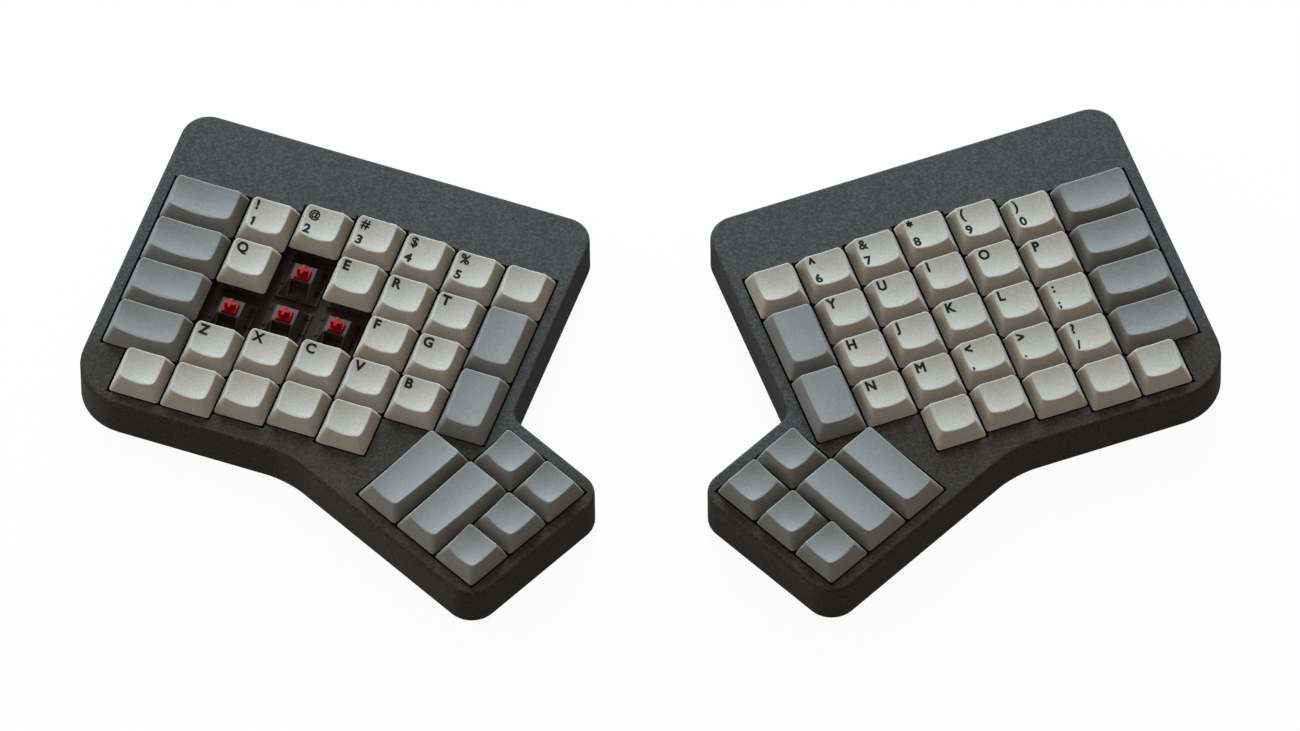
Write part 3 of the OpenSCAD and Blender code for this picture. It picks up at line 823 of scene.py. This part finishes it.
@dataclass(frozen=True)
class Switches:
    """Switch housings and their sliding stems, in mm.

    Sunk, deep and overlap say how far a form reaches into the one that it stands on, and proud how far it stands out.
    """

    layout: Layout
    z: Heights
    body: float = 14.0
    flange: float = 15.6
    flange_thick: float = 1.0
    edge: float = 0.18
    overlap: float = 0.5
    pole_radius: float = 1.9
    crown_wide: float = 8.0
    crown_front: float = -2.5
    crown_back: float = 4.2
    crown_sunk: float = 0.1
    # Depth below the crown's top within which faces take the painted highlight
    highlight_band: float = 0.05
    shaft: tuple[float, float] = (5.5, 4.7)
    recess_wide: float = 7.0
    recess_low: float = 0.5
    recess_wall: float = 0.35
    lip: tuple[float, float] = (-0.2, 2.0)
    lip_low: float = 0.35
    lip_deep: float = 0.7
    clip_half: tuple[float, float] = (0.9, 1.6)
    clip_low: float = -0.4
    clip_high: float = 1.7
    clip_along: float = 3.6
    rib_wide: float = 0.4
    rib_proud: float = 0.25
    rib_deep: float = 0.5
    rib_sunk: float = 0.2
    slider: tuple[float, float] = (5.2, 4.4)
    slider_proud: float = 1.2
    cross_long: float = 4.0
    cross_thick: float = 1.2
    cross_high: float = 3.7
    cross_sunk: float = 1.0
    stem_edge: float = 0.15
    stem_steps: int = 2

    # Material indices: the plain nylon, and its lighter copy as a painted highlight
    NYLON, RUBBED = range(2)

    def crown(self) -> bmesh.types.BMesh:
        """Makes the upper housing: four slopes up to a small flat top.

        Returns:
            The form in mm about the switch's centre.
        """
        low = self.z.plate + self.flange_thick - self.crown_sunk
        form = block((-self.body / 2, -self.body / 2, low), (self.body / 2, self.body / 2, self.z.housing))
        for vert in form.verts:
            if vert.co.z > low + NEAR:
                vert.co.x = math.copysign(self.crown_wide / 2, vert.co.x)
                vert.co.y = self.crown_back if vert.co.y > 0 else self.crown_front
        return form

    def ribs(self) -> bmesh.types.BMesh:
        """Makes the thin ribs down the front slope, on both sides of the recess.

        Returns:
            The ribs in mm about the switch's centre.
        """
        low = self.z.plate + self.flange_thick
        ribs = []
        for side in (-1, 1):
            middle = side * (self.recess_wide + self.rib_wide) / 2
            rib = block((middle - self.rib_wide / 2, -self.rib_proud, low - self.rib_sunk),
                        (middle + self.rib_wide / 2, self.rib_deep, self.z.housing))
            for vert in rib.verts:
                vert.co.y += self.crown_front if vert.co.z > low else -self.body / 2
            ribs.append(rib)
        form = joined(ribs)
        # The ribs take the lighter copy of the nylon as a painted highlight
        paint(form, self.RUBBED)
        return form

    def housing(self) -> bpy.types.Mesh:
        """Makes one housing about its own centre.

        Returns:
            A mesh in mm.
        """
        z = self.z
        top = z.plate + self.flange_thick
        half_body, half_flange = self.body / 2, self.flange / 2
        lower = block((-half_body, -half_body, z.board_top), (half_body, half_body, z.plate + self.overlap))
        flange = block((-half_flange, -half_flange, z.plate), (half_flange, half_flange, top))
        shaft = block((-self.shaft[0] / 2, -self.shaft[1] / 2, z.shaft_floor),
                      (self.shaft[0] / 2, self.shaft[1] / 2, z.housing + PAST))
        # Recess for a lamp in the front, and notches for the clips that hold the two shells together
        recess = block((-self.recess_wide / 2, -half_flange - PAST, top + self.recess_low),
                       (self.recess_wide / 2, self.crown_front - self.recess_wall, z.housing + PAST))
        lip = block((self.lip[0], -half_flange - PAST, z.plate + self.lip_low),
                    (self.lip[1], -half_flange + self.lip_deep, top + PAST))
        wide, long = self.clip_half
        clips = [block((x - wide, y - long, top + self.clip_low), (x + wide, y + long, top + self.clip_high))
                 for x in (-half_body, half_body) for y in (-self.clip_along, self.clip_along)]
        mesh = carved(lower, [
            (Carve.ADD, flange),
            (Carve.ADD, self.crown()),
            (Carve.ADD, disc(self.pole_radius, z.board, z.board_top + self.overlap)),
            (Carve.CUT, joined([shaft, recess, lip, *clips])),
        ], self.edge)
        # Faces at the crown's top take the lighter copy of the nylon as a painted highlight, the rest the plain one
        for face in mesh.polygons:
            face.material_index = self.RUBBED if face.center.z > z.housing - self.highlight_band else self.NYLON
        return mesh

    def stem(self, index: int, proud: float, top: float) -> bpy.types.Mesh:
        """Makes one slider with its cross about its own centre.

        Args:
            index: Material index of its faces.
            proud: Height of the slider's shoulder above the housing.
            top: Height of the cross above the desk.

        Returns:
            A mesh in mm.
        """
        z = self.z
        x, y = self.slider[0] / 2, self.slider[1] / 2
        slider = block((-x, -y, z.stem_foot), (x, y, z.housing + proud))
        arms = [block((-a / 2, -b / 2, z.housing - self.cross_sunk), (a / 2, b / 2, top))
                for a, b in ((self.cross_long, self.cross_thick), (self.cross_thick, self.cross_long))]
        for form in (slider, *arms):
            bevel(form, form.edges[:], self.stem_edge, self.stem_steps)
        mesh = carved(slider, [(Carve.ADD, arm) for arm in arms])
        for face in mesh.polygons:
            face.material_index = index
        return mesh

    def build(self, half: Half) -> None:
        """Builds all housings of a half.

        Args:
            half: Half that they belong to.
        """
        one = [self.housing(), to_mesh(self.ribs(), "ribs")]
        places = [self.layout.place(half, cell) for cell in self.layout.all_keys()]
        fixed_piece(half, "switches", one, places, [Surface.HOUSING, Surface.RUBBED],
                    "switch_housings")

    def bare_stem(self, half: Half, letter: str, cell: Cell) -> None:
        """Builds the stem of a key whose keycap is off.

        Args:
            half: Half that it belongs to.
            letter: Letter of the key.
            cell: Cell of the key.
        """
        mesh = self.stem(0, self.slider_proud, self.z.housing + self.cross_high)
        mesh.transform(self.layout.place(half, cell))
        node = f"{half.prefix}stem_{letter}"
        finished(f"{half.prefix}bare_stem_{letter}", mesh, [Surface.RED_STEM], node, [node])


@dataclass(frozen=True)
class Section:
    """Level outline of a keycap: a trapezium with rounded corners, in mm.

    A place in it is given across and along, each from -2 to 2. Up to 1 it lies between the corners' centres, and beyond
    1 it lies in the corners.
    """

    front: float
    back: float
    half_front: float
    half_back: float
    radius: float

    LEAST_RADIUS = 0.2

    def inset(self, distance: float) -> "Section":
        """Outline drawn in on all sides."""
        return Section(self.front + distance, self.back - distance, self.half_front - distance,
                       self.half_back - distance, max(self.LEAST_RADIUS, self.radius - distance))

    def point(self, across: float, along: float, height: float = 0.0) -> Vector:
        """Gives a point inside the outline or on it.

        Args:
            across: Place from the left to the right.
            along: Place from the front to the back.
            height: Height of the outline.

        Returns:
            The point in mm.
        """
        a, b = max(0.0, abs(across) - 1), max(0.0, abs(along) - 1)
        a, b = a * math.sqrt(1 - b * b / 2), b * math.sqrt(1 - a * a / 2)
        reach = (self.back - self.front) / 2
        y = math.copysign(min(abs(along), 1) * (reach - self.radius) + b * self.radius, along)
        half = self.half_front + (y + reach) / (2 * reach) * (self.half_back - self.half_front)
        x = math.copysign(min(abs(across), 1) * (half - self.radius) + a * self.radius, across)
        return Vector((x, y + (self.front + self.back) / 2, height))


@dataclass(frozen=True)
class CapForm:
    """Form of a keycap that stands on z = 0, in mm.

    Front and back are the heights of the top's edges. The insets and sides say how far these lie inside the foot.
    """

    width: float
    depth: float
    dish_across: float = 0.85
    dish_along: float = 0.55
    front: float = 5.5
    back: float = 6.9
    front_inset: float = 3.6
    back_inset: float = 2.7
    side_front: float = 2.9
    side_back: float = 2.2
    top_radius: float = 1.5
    foot_radius: float = 1.2
    rim: float = 0.4
    bulge: float = 0.12
    edge_tries: int = 6

    @property
    def front_y(self) -> float:
        """Place of the top's front edge."""
        return self.front_inset - self.depth / 2

    @property
    def back_y(self) -> float:
        """Place of the top's back edge."""
        return self.depth / 2 - self.back_inset

    @property
    def foot_section(self) -> Section:
        """Outline that the keycap stands on."""
        return Section(-self.depth / 2, self.depth / 2, self.width / 2, self.width / 2, self.foot_radius)

    @property
    def top_section(self) -> Section:
        """Outline of the top before it is dished and its rim rounded."""
        return Section(self.front_y, self.back_y, self.half_width(self.front_y), self.half_width(self.back_y),
                       self.top_radius)

    def half_width(self, y: float) -> float:
        """Half of the top's width at a place along it."""
        share = (y - self.front_y) / (self.back_y - self.front_y)
        return self.width / 2 - self.side_front + share * (self.side_front - self.side_back)

    def flat_top(self, y: float) -> float:
        """Height of the top before it is dished."""
        return self.front + (y - self.front_y) / (self.back_y - self.front_y) * (self.back - self.front)

    def dish(self, x: float, y: float) -> float:
        """Gives the height of the dished top.

        Args:
            x: Place across the keycap in mm.
            y: Place along the keycap in mm.

        Returns:
            The height above the keycap's foot in mm.
        """
        middle, reach = (self.front_y + self.back_y) / 2, (self.back_y - self.front_y) / 2
        across = max(0.0, 1 - (x / self.half_width(y)) ** 2)
        along = max(0.0, 1 - ((y - middle) / reach) ** 2)
        return self.flat_top(y) - self.dish_across * across - self.dish_along * along

    def on_dish(self, point: Vector) -> Vector:
        """Point of the dish above or below a point."""
        return Vector((point.x, point.y, self.dish(point.x, point.y)))

    def side_point(self, across: float, along: float, turn: float) -> Vector:
        """Gives a point on the way from the dish over the rounded rim to the side.

        Args:
            across: Place on the outline from left to right.
            along: Place on the outline from front to back.
            turn: 0 at the rim's inner edge and 1 at its outer edge on the side.

        Returns:
            The point in mm.
        """
        foot = self.foot_section.point(across, along)
        head = self.top_section.point(across, along)
        head.z = self.flat_top(head.y)
        # Each try comes closer to where the side meets the dish
        share = 1.0
        for _ in range(self.edge_tries):
            edge = foot.lerp(head, share)
            share -= (edge.z - self.dish(edge.x, edge.y)) / head.z
        edge = foot.lerp(head, share)
        inward = self.top_section.inset(self.rim).point(across, along) - self.top_section.point(across, along)
        inner = self.on_dish(edge + self.rim * inward.normalized())
        outer = edge + self.rim * (foot - edge).normalized()
        return inner.lerp(edge, turn).lerp(edge.lerp(outer, turn), turn)

    def swollen(self, across: float, along: float) -> Vector:
        """Gives a point half-way down the sides, which swell a little.

        Args:
            across: Place on the outline from left to right.
            along: Place on the outline from front to back.

        Returns:
            The point in mm.
        """
        low = self.foot_section.point(across, along)
        out = low - self.foot_section.inset(self.rim).point(across, along)
        return low.lerp(self.side_point(across, along, 1.0), 0.5) + self.bulge * out.normalized()


LETTERS: dict[Half, tuple[str, ...]] = {
    Half.LEFT: ("q", "w", "e", "r", "t", "a", "s", "d", "f", "g", "z", "x", "c", "v", "b"),
    Half.RIGHT: ("p", "o", "i", "u", "y", "semicolon", "l", "k", "j", "h", "slash", "period", "comma", "m", "n"),
}
BARE = {Half.LEFT: ("w", "a", "s", "d"), Half.RIGHT: ()}
# Legends of the number row from the outer column inwards: the upper sign, then the lower one
NUMBER_LEGENDS = {
    Half.LEFT: ("!1", "@2", "#3", "$4", "%5", ""),
    Half.RIGHT: (")0", "(9", "*8", "&7", "^6", ""),
}
SIGN_LEGENDS = {"semicolon": ":;", "slash": "?/", "period": ">.", "comma": "<,"}
# Signs that are drawn smaller, with finer lines, or with a flag because the font has them as a plain bar
LEGEND_SCALE = {"@": 0.8}
FINE_SIGNS = "@#$%&"
FLAGGED_SIGNS = "1"
# Height of a capital letter in Blender's font, as a share of the text's size
CAPITAL_SHARE = 0.682


@dataclass
class Keycaps:
    """Keycaps with their legends and stems, in mm."""

    layout: Layout
    z: Heights
    switches: Switches
    gap: float = 0.7
    tall_dish: tuple[float, float] = (0.65, 0.35)
    wide_dish: float = 1.05
    corner_steps: int = 3
    rim_steps: int = 3
    least_steps: int = 6
    top_step: float = 1.6
    slopes: float = 6.0
    wall: float = 1.3
    hollow: float = 4.2
    ceiling_radius: float = 0.8
    cross_bite: float = 0.2
    legend_high: float = 3.4
    legend_bold: float = 0.2
    legend_fine: float = 0.13
    legend_left: float = 1.3
    legend_back: float = 2.6
    legend_step: float = 6.6
    legend_proud: float = 0.05
    legend_deep: float = 0.12
    flag_long: float = 1.1
    flag_wide: float = 0.55
    flag_slope: float = 40.0
    made: dict[tuple[float, float], bpy.types.Mesh] = field(default_factory=dict)
    glyphs: dict[str, bpy.types.Mesh] = field(default_factory=dict)

    # Material indices; the keycap itself has the first one
    LEGEND, STEM = 1, 2

    def form_of(self, cell: Cell) -> CapForm:
        """Gives the form of the keycap that fits a cell.

        Args:
            cell: Cell of the key.

        Returns:
            The form, with a flatter dish on a tall key and a deeper one on a wide key.
        """
        width, depth = cell.wide * PITCH - self.gap, cell.tall * PITCH - self.gap
        if cell.tall > 1:
            return CapForm(width, depth, *self.tall_dish)
        return CapForm(width, depth, self.wide_dish) if cell.wide > 1 else CapForm(width, depth)

    def shell(self, shape: CapForm) -> bmesh.types.BMesh:
        """Makes a keycap's hollow shell from its dished top down over the rim and the sides.

        Args:
            shape: Form of the keycap.

        Returns:
            The shell, standing on z = 0.
        """
        form = bmesh.new()
        corner = self.corner_steps
        counts = [2 * corner + max(self.least_steps, round((size - self.slopes) / self.top_step))
                  for size in (shape.width, shape.depth)]
        bmesh.ops.create_grid(form, x_segments=counts[0], y_segments=counts[1], size=1.0)
        # Each vertex keeps its place in the outline, which the rings that are drawn out of the rim take over
        place = form.verts.layers.float_vector.new("place")
        inner = shape.top_section.inset(shape.rim)
        for vert in form.verts:
            steps = [(c + 1) / 2 * count for c, count in zip(vert.co.xy, counts)]
            across, along = (self.outline_place(step, count) for step, count in zip(steps, counts))
            vert[place] = (across, along, 0.0)
            rim = max(abs(across), abs(along)) > 2 - NEAR
            vert.co = shape.side_point(across, along, 0.0) if rim else shape.on_dish(inner.point(across, along))
        edges = [e for e in form.edges if e.is_boundary]
        for ring in self.rings(shape):
            grown = bmesh.ops.extrude_edge_only(form, edges=edges)["geom"]
            for vert in (g for g in grown if isinstance(g, bmesh.types.BMVert)):
                vert.co = ring(*vert[place].xy)
            edges = [g for g in grown if isinstance(g, bmesh.types.BMEdge) and g.is_boundary]
        bmesh.ops.holes_fill(form, edges=edges)
        form.verts.layers.float_vector.remove(place)
        return form

    def outline_place(self, step: float, count: int) -> float:
        """Gives the place of a step of the top's grid: a few steps at each end lie in the corners.

        Args:
            step: Steps from the start of the grid.
            count: Steps of the whole grid.

        Returns:
            The place from -2 to 2, as in Section.
        """
        step, corner = round(step), self.corner_steps
        if corner <= step <= count - corner:
            return 2 * (step - corner) / (count - 2 * corner) - 1
        return step / corner - 2 if step < corner else 2 - (count - step) / corner

    def rings(self, shape: CapForm) -> list[Callable[[float, float], Vector]]:
        """Gives the rings of a keycap's outside and inside, from the rim down and up into the hollow.

        Args:
            shape: Form of the keycap.

        Returns:
            For each ring, a function from a place on the outline to a point.
        """
        foot = shape.foot_section
        inside = foot.inset(self.wall)
        lean = self.hollow / shape.front
        ceiling = Section(inside.front + lean * shape.front_inset, inside.back - lean * shape.back_inset,
                          inside.half_front - lean * shape.side_front, inside.half_back - lean * shape.side_back,
                          self.ceiling_radius)
        rim = [partial(shape.side_point, turn=step / self.rim_steps) for step in range(1, self.rim_steps + 1)]
        return [*rim, shape.swollen, foot.point, inside.point, partial(ceiling.point, height=self.hollow)]

    def key(self, cell: Cell) -> bpy.types.Mesh:
        """Gives the keycap for a cell and the stem that reaches up to its ceiling, made once for each size.

        Args:
            cell: Cell of the key.

        Returns:
            A mesh in mm about the key's centre, at its height above the desk.
        """
        size = (cell.wide, cell.tall)
        if size not in self.made:
            cap = self.shell(self.form_of(cell))
            bmesh.ops.translate(cap, vec=(0, 0, self.z.cap_foot), verts=cap.verts[:])
            stem = self.switches.stem(self.STEM, 0.0, self.z.cap_foot + self.hollow + self.cross_bite)
            append(cap, stem, Matrix.Identity(4))
            bpy.data.meshes.remove(stem)
            self.made[size] = to_mesh(cap, "key")
        return self.made[size]

    def glyph(self, sign: str) -> bpy.types.Mesh:
        """Gives a sign as a thin solid with its foot on y = 0 and its left edge near x = 0, made once.

        Args:
            sign: One character.

        Returns:
            A mesh in mm, with z from -1 to 1.
        """
        if sign not in self.glyphs:
            curve = bpy.data.curves.new("legend", "FONT")
            curve.body = sign
            curve.size = self.legend_high / CAPITAL_SHARE * LEGEND_SCALE.get(sign, 1.0)
            curve.bevel_depth = self.legend_fine if sign in FINE_SIGNS else self.legend_bold
            curve.bevel_resolution = 0
            curve.resolution_u = 5
            curve.extrude = 1.0
            text = new_object("legend", curve)
            mesh = evaluated_mesh(text)
            self.glyphs[sign] = self.flagged(mesh) if sign in FLAGGED_SIGNS else mesh
            bpy.data.objects.remove(text)
            bpy.data.curves.remove(curve)
        return self.glyphs[sign]

    def flagged(self, bar: bpy.types.Mesh) -> bpy.types.Mesh:
        """Gives a digit that the font draws as a plain bar a short flag at its head.

        Args:
            bar: Mesh of the digit; it can't be used afterwards.

        Returns:
            The digit with its flag, in mm.
        """
        low, high = (Vector(end(v.co[i] for v in bar.vertices) for i in range(3)) for end in (min, max))
        form = bmesh.new()
        form.from_mesh(bar)
        bpy.data.meshes.remove(bar)
        bmesh.ops.remove_doubles(form, verts=form.verts[:], dist=NEAR)
        flag = block((-self.flag_long, -self.flag_wide / 2, low.z), (0, self.flag_wide / 2, high.z))
        turn = Matrix.Rotation(math.radians(self.flag_slope), 4, "Z")
        head = Matrix.Translation(((low.x + high.x) / 2, high.y - self.flag_wide / 2, 0))
        return carved(form, [(Carve.ADD, joined([flag], [head @ turn]))])

    def legend(self, shape: CapForm, signs: str) -> bmesh.types.BMesh:
        """Lays legends on a keycap's dish.

        Args:
            shape: Form of the keycap.
            signs: Upper sign, and the lower one if there are two.

        Returns:
            The legends as thin solids, in mm about the key's centre.
        """
        form = bmesh.new()
        for index, sign in enumerate(signs):
            left = self.legend_left - shape.half_width(shape.back_y)
            foot = shape.back_y - self.legend_back - self.legend_high / 2 - index * self.legend_step
            append(form, self.glyph(sign), Matrix.Translation((left, foot, 0)))
        bmesh.ops.remove_doubles(form, verts=form.verts[:], dist=NEAR)
        for vert in form.verts:
            rise = self.legend_proud if vert.co.z > 0 else -self.legend_deep
            vert.co.z = self.z.cap_foot + shape.dish(vert.co.x, vert.co.y) + rise
        paint(form, self.LEGEND)
        return form

    def build(
        self,
        half: Half,
        name: str,
        node: str,
        cells: Sequence[Cell],
        signs: Sequence[str],
        surface: Surface,
    ) -> None:
        """Builds the keys that share a node.

        Args:
            half: Half that they belong to.
            name: Name of the piece without its half.
            node: CAD node that they stand for, which is also their body.
            cells: Cells of the keys.
            signs: Legends of each key.
            surface: Finish of the keycaps.
        """
        form = bmesh.new()
        for cell, marks in zip(cells, signs):
            matrix = self.layout.place(half, cell)
            append(form, self.key(cell), matrix)
            if marks:
                legend = to_mesh(self.legend(self.form_of(cell), marks), "legend")
                append(form, legend, matrix)
                bpy.data.meshes.remove(legend)
        finished(half.prefix + name, to_mesh(form, name), [surface, Surface.INK, Surface.RED_STEM],
                 half.prefix + node, [half.prefix + node])

    def build_half(self, half: Half) -> None:
        """Builds all keys of a half.

        Args:
            half: Half that they belong to.
        """
        light = ("number", "bottom")
        for group, cells in self.layout.groups().items():
            signs = NUMBER_LEGENDS[half] if group == "number" else [""] * len(cells)
            surface = Surface.LIGHT_CAP if group in light else Surface.GREY_CAP
            self.build(half, group + "_caps", group + "_keys", cells, signs, surface)
        for letter, cell in zip(LETTERS[half], self.layout.letters()):
            if letter in BARE[half]:
                self.switches.bare_stem(half, letter, cell)
            else:
                signs = SIGN_LEGENDS.get(letter, letter.upper())
                self.build(half, "cap_" + letter, "key_" + letter, [cell], [signs], Surface.LIGHT_CAP)


@dataclass(frozen=True)
class Hardware:
    """Screws and feet under a half, in mm, and the inner parts that keep their CAD form.

    The places of the feet are in pitches.
    """

    layout: Layout
    z: Heights
    case: Case
    head_radius: float = 2.75
    head_low: float = 1.7
    head_high: float = 1.8
    head_edge: float = 0.4
    head_steps: int = 3
    shank_radius: float = 1.5
    shank_top: float = 15.3
    shank_sides: int = 24
    shank_sunk: float = 0.5
    socket_radius: float = 1.2
    socket_sides: int = 6
    socket_edge: float = 0.1
    round_sides: int = 40
    foot_radius: float = 5.0
    foot_edge: float = 0.5
    foot_steps: int = 4
    sole_in: float = 0.8
    sole_step: float = 0.3
    sole_deep: float = 0.2
    back_feet: tuple[float, float] = (1.9, 6.0)
    palm_foot: float = 1.6
    thumb_feet: tuple[tuple[float, float], ...] = ((2.5, -1.5), (2.5, 0.5))

    def screws(self, half: Half) -> None:
        """Builds the case screws of a half with their sockets.

        Args:
            half: Half that they belong to.
        """
        seat = self.head_low + self.head_high
        middle = self.head_low + self.head_high / 2
        head = disc(self.head_radius, self.head_low, seat, self.round_sides)
        bevel(head, Case.level_edges(head, self.head_low), self.head_edge, self.head_steps)
        one = carved(head, [
            (Carve.ADD, disc(self.shank_radius, seat - self.shank_sunk, self.shank_top, self.shank_sides)),
            (Carve.CUT, disc(self.socket_radius, self.head_low - PAST, middle, self.socket_sides)),
        ], self.socket_edge)
        places = [self.layout.place(half, Cell(x, y)) for x, y in self.case.boss_points]
        fixed_piece(half, "screws", [one], places, [Surface.STEEL], "case_screws")

    def feet(self, half: Half) -> None:
        """Builds the rubber feet of a half: low buttons with a rounded edge and a shallow hollow.

        Args:
            half: Half that they belong to.
        """
        form = disc(self.foot_radius, 0.0, self.z.foot, self.round_sides)
        bevel(form, Case.level_edges(form, 0.0), self.foot_edge, self.foot_steps)
        sole = next(f for f in form.faces if all(v.co.z < NEAR for v in f.verts))
        for thickness in (self.sole_in, self.sole_step):
            bmesh.ops.inset_region(form, faces=[sole], thickness=thickness)
        bmesh.ops.translate(form, vec=(0, 0, self.sole_deep), verts=sole.verts[:])
        # The feet stand in line with the screws of the back strip and of the outer front corner
        strip, palm = self.case.boss_points[0][1], self.case.boss_points[3][1]
        points = [
            *((x * PITCH, strip) for x in self.back_feet),
            (self.palm_foot * PITCH, palm),
            *(self.layout.thumb_point(x * PITCH, y * PITCH) for x, y in self.thumb_feet),
        ]
        places = [self.layout.place(half, Cell(x, y)) for x, y in points]
        fixed_piece(half, "feet", [to_mesh(form, "foot")], places, [Surface.RUBBER], "rubber_feet")

    @staticmethod
    def dress_cad(nodes: dict[str, bpy.types.Object]) -> None:
        """Gives the CAD nodes that stay in view their finishes.

        Args:
            nodes: The frame's nodes by name.
        """
        finishes = {
            "switch_plate": Surface.PLATE,
            "circuit_board": Surface.BOARD,
            "controller_board": Surface.BOARD,
            "link_jack": Surface.JACK,
            "usb_socket": Surface.STEEL,
        }
        for name, node in nodes.items():
            surface = finishes.get(name.split("_", 1)[1])
            if surface:
                node.data.materials.clear()
                node.data.materials.append(surface.material)
                LOG.info("%s keeps its CAD form", name)


@dataclass(frozen=True)
class Lamp:
    """A soft square light: where it stands in metres, its width, its power and its colour."""

    name: str
    place: tuple[float, float, float]
    width: float
    watts: float
    colour: str

    def build(self) -> None:
        """Makes the light, aimed at the keyboard."""
        data = bpy.data.lights.new(self.name, "AREA")
        data.shape = "SQUARE"
        data.size = self.width
        data.energy = self.watts
        data.color = linear(self.colour)[:3]
        # The gaps between the keycaps stay dark, as the light goes no further than what it falls on
        data.cycles.max_bounces = 0
        lamp = new_object(self.name, data)
        lamp.location = self.place
        lamp.rotation_mode = "QUATERNION"
        lamp.rotation_quaternion = (-Vector(self.place)).to_track_quat("-Z", "Y")
        lamp.visible_camera = False


@dataclass(frozen=True)
class Studio:
    """Floor, light and camera."""

    azimuth: float = 0.52457
    elevation: float = 54.26457
    roll: float = -0.89506
    distance: float = 10.163475
    target: tuple[float, float, float] = (-0.00019167, -0.00632094, 0.01805)
    lens: float = 800.0
    sensor: float = 36.0
    clip: tuple[float, float] = (0.1, 100.0)
    floor_reach: float = 40.0
    floor_colour: str = "#453630"
    white: str = "#ffffff"
    sky_colour: str = "#ffead8"
    sky_strength: float = 0.345
    shadow_share: float = 0.04
    lamps: tuple[Lamp, ...] = (
        Lamp("back_light", (0.0, 1.96, 0.98), 1.0, 77.0, "#e4f3ff"),
        Lamp("left_light", (-1.9, 0.5, 0.45), 1.2, 14.5, "#ffffff"),
    )

    def camera(self) -> None:
        """Makes the scene's camera at the photograph's viewing angle."""
        az, el, roll = (math.radians(a) for a in (self.azimuth, self.elevation, self.roll))
        ahead = Vector((-math.sin(az) * math.cos(el), math.cos(az) * math.cos(el), -math.sin(el)))
        right = Vector((math.cos(az), math.sin(az), 0.0))
        up = right.cross(ahead)
        turned_right = math.cos(roll) * right + math.sin(roll) * up
        turned_up = -math.sin(roll) * right + math.cos(roll) * up
        data = bpy.data.cameras.new("camera")
        data.lens = self.lens
        data.sensor_width = self.sensor
        data.clip_start, data.clip_end = self.clip
        camera = new_object("camera", data)
        axes = Matrix((turned_right, turned_up, -ahead)).transposed().to_4x4()
        camera.matrix_world = Matrix.Translation(Vector(self.target) - self.distance * ahead) @ axes
        bpy.context.scene.camera = camera

    @staticmethod
    def seen_directly(tree: bpy.types.NodeTree) -> bpy.types.NodeSocket:
        """Adds nodes that tell rays from the camera, off gloss and through glass from others.

        Args:
            tree: Node tree to add them to.

        Returns:
            A socket that gives 1 on such rays and 0 on others.
        """
        path = add_node(tree, "ShaderNodeLightPath").outputs
        either = path["Is Camera Ray"]
        for kind in ("Is Glossy Ray", "Is Transmission Ray"):
            either = add_node(tree, "ShaderNodeMath", links={0: either, 1: path[kind]}, operation="MAXIMUM").outputs[0]
        return either

    def floor(self) -> None:
        """Makes the pale floor, which shows white and keeps a faint shadow."""
        form = bmesh.new()
        bmesh.ops.create_grid(form, x_segments=1, y_segments=1, size=self.floor_reach)
        floor = new_object("floor", to_mesh(form, "floor"))
        material = bpy.data.materials.new("white_floor")
        material.use_nodes = True
        tree = material.node_tree
        tree.nodes.clear()
        dull = add_node(tree, "ShaderNodeBsdfDiffuse", {"Color": linear(self.floor_colour)})
        lit = add_node(tree, "ShaderNodeBsdfDiffuse", {"Color": linear(self.white)})
        glow = add_node(tree, "ShaderNodeEmission", {"Color": linear(self.white), "Strength": 1.0})
        pale = add_node(tree, "ShaderNodeMixShader", {0: self.shadow_share},
                        {1: glow.outputs[0], 2: lit.outputs[0]})
        shown = add_node(tree, "ShaderNodeMixShader", links={0: self.seen_directly(tree), 1: dull.outputs[0],
                                                             2: pale.outputs[0]})
        add_node(tree, "ShaderNodeOutputMaterial", links={"Surface": shown.outputs[0]})
        floor.data.materials.append(material)

    def sky(self) -> None:
        """Makes the world: white where it is seen, a dim even light elsewhere."""
        world = bpy.data.worlds.new("studio")
        world.use_nodes = True
        tree = world.node_tree
        tree.nodes.clear()
        even = add_node(tree, "ShaderNodeBackground", {"Color": linear(self.sky_colour), "Strength": self.sky_strength})
        white = add_node(tree, "ShaderNodeBackground", {"Color": linear(self.white), "Strength": 1.0})
        shown = add_node(tree, "ShaderNodeMixShader", links={0: self.seen_directly(tree), 1: even.outputs[0],
                                                             2: white.outputs[0]})
        add_node(tree, "ShaderNodeOutputWorld", links={"Surface": shown.outputs[0]})
        bpy.context.scene.world = world

    def build(self) -> None:
        """Sets up the whole studio."""
        self.camera()
        self.floor()
        self.sky()
        for lamp in self.lamps:
            lamp.build()
        bpy.context.scene.view_settings.view_transform = "Standard"


def main() -> None:
    """Builds the keyboard and the studio."""
    logging.basicConfig(level=logging.INFO, format="%(name)s: %(message)s")
    layout, heights = Layout(), Heights()
    case = Case(layout, heights)
    switches = Switches(layout, heights)
    keycaps = Keycaps(layout, heights, switches)
    hardware = Hardware(layout, heights, case)
    Studio().build()
    for half in Half:
        case.lid(half)
        case.tray(half)
        switches.build(half)
        keycaps.build_half(half)
        hardware.screws(half)
        hardware.feet(half)
    hardware.dress_cad(frame["nodes"])


if __name__ == "__main__":
    main()
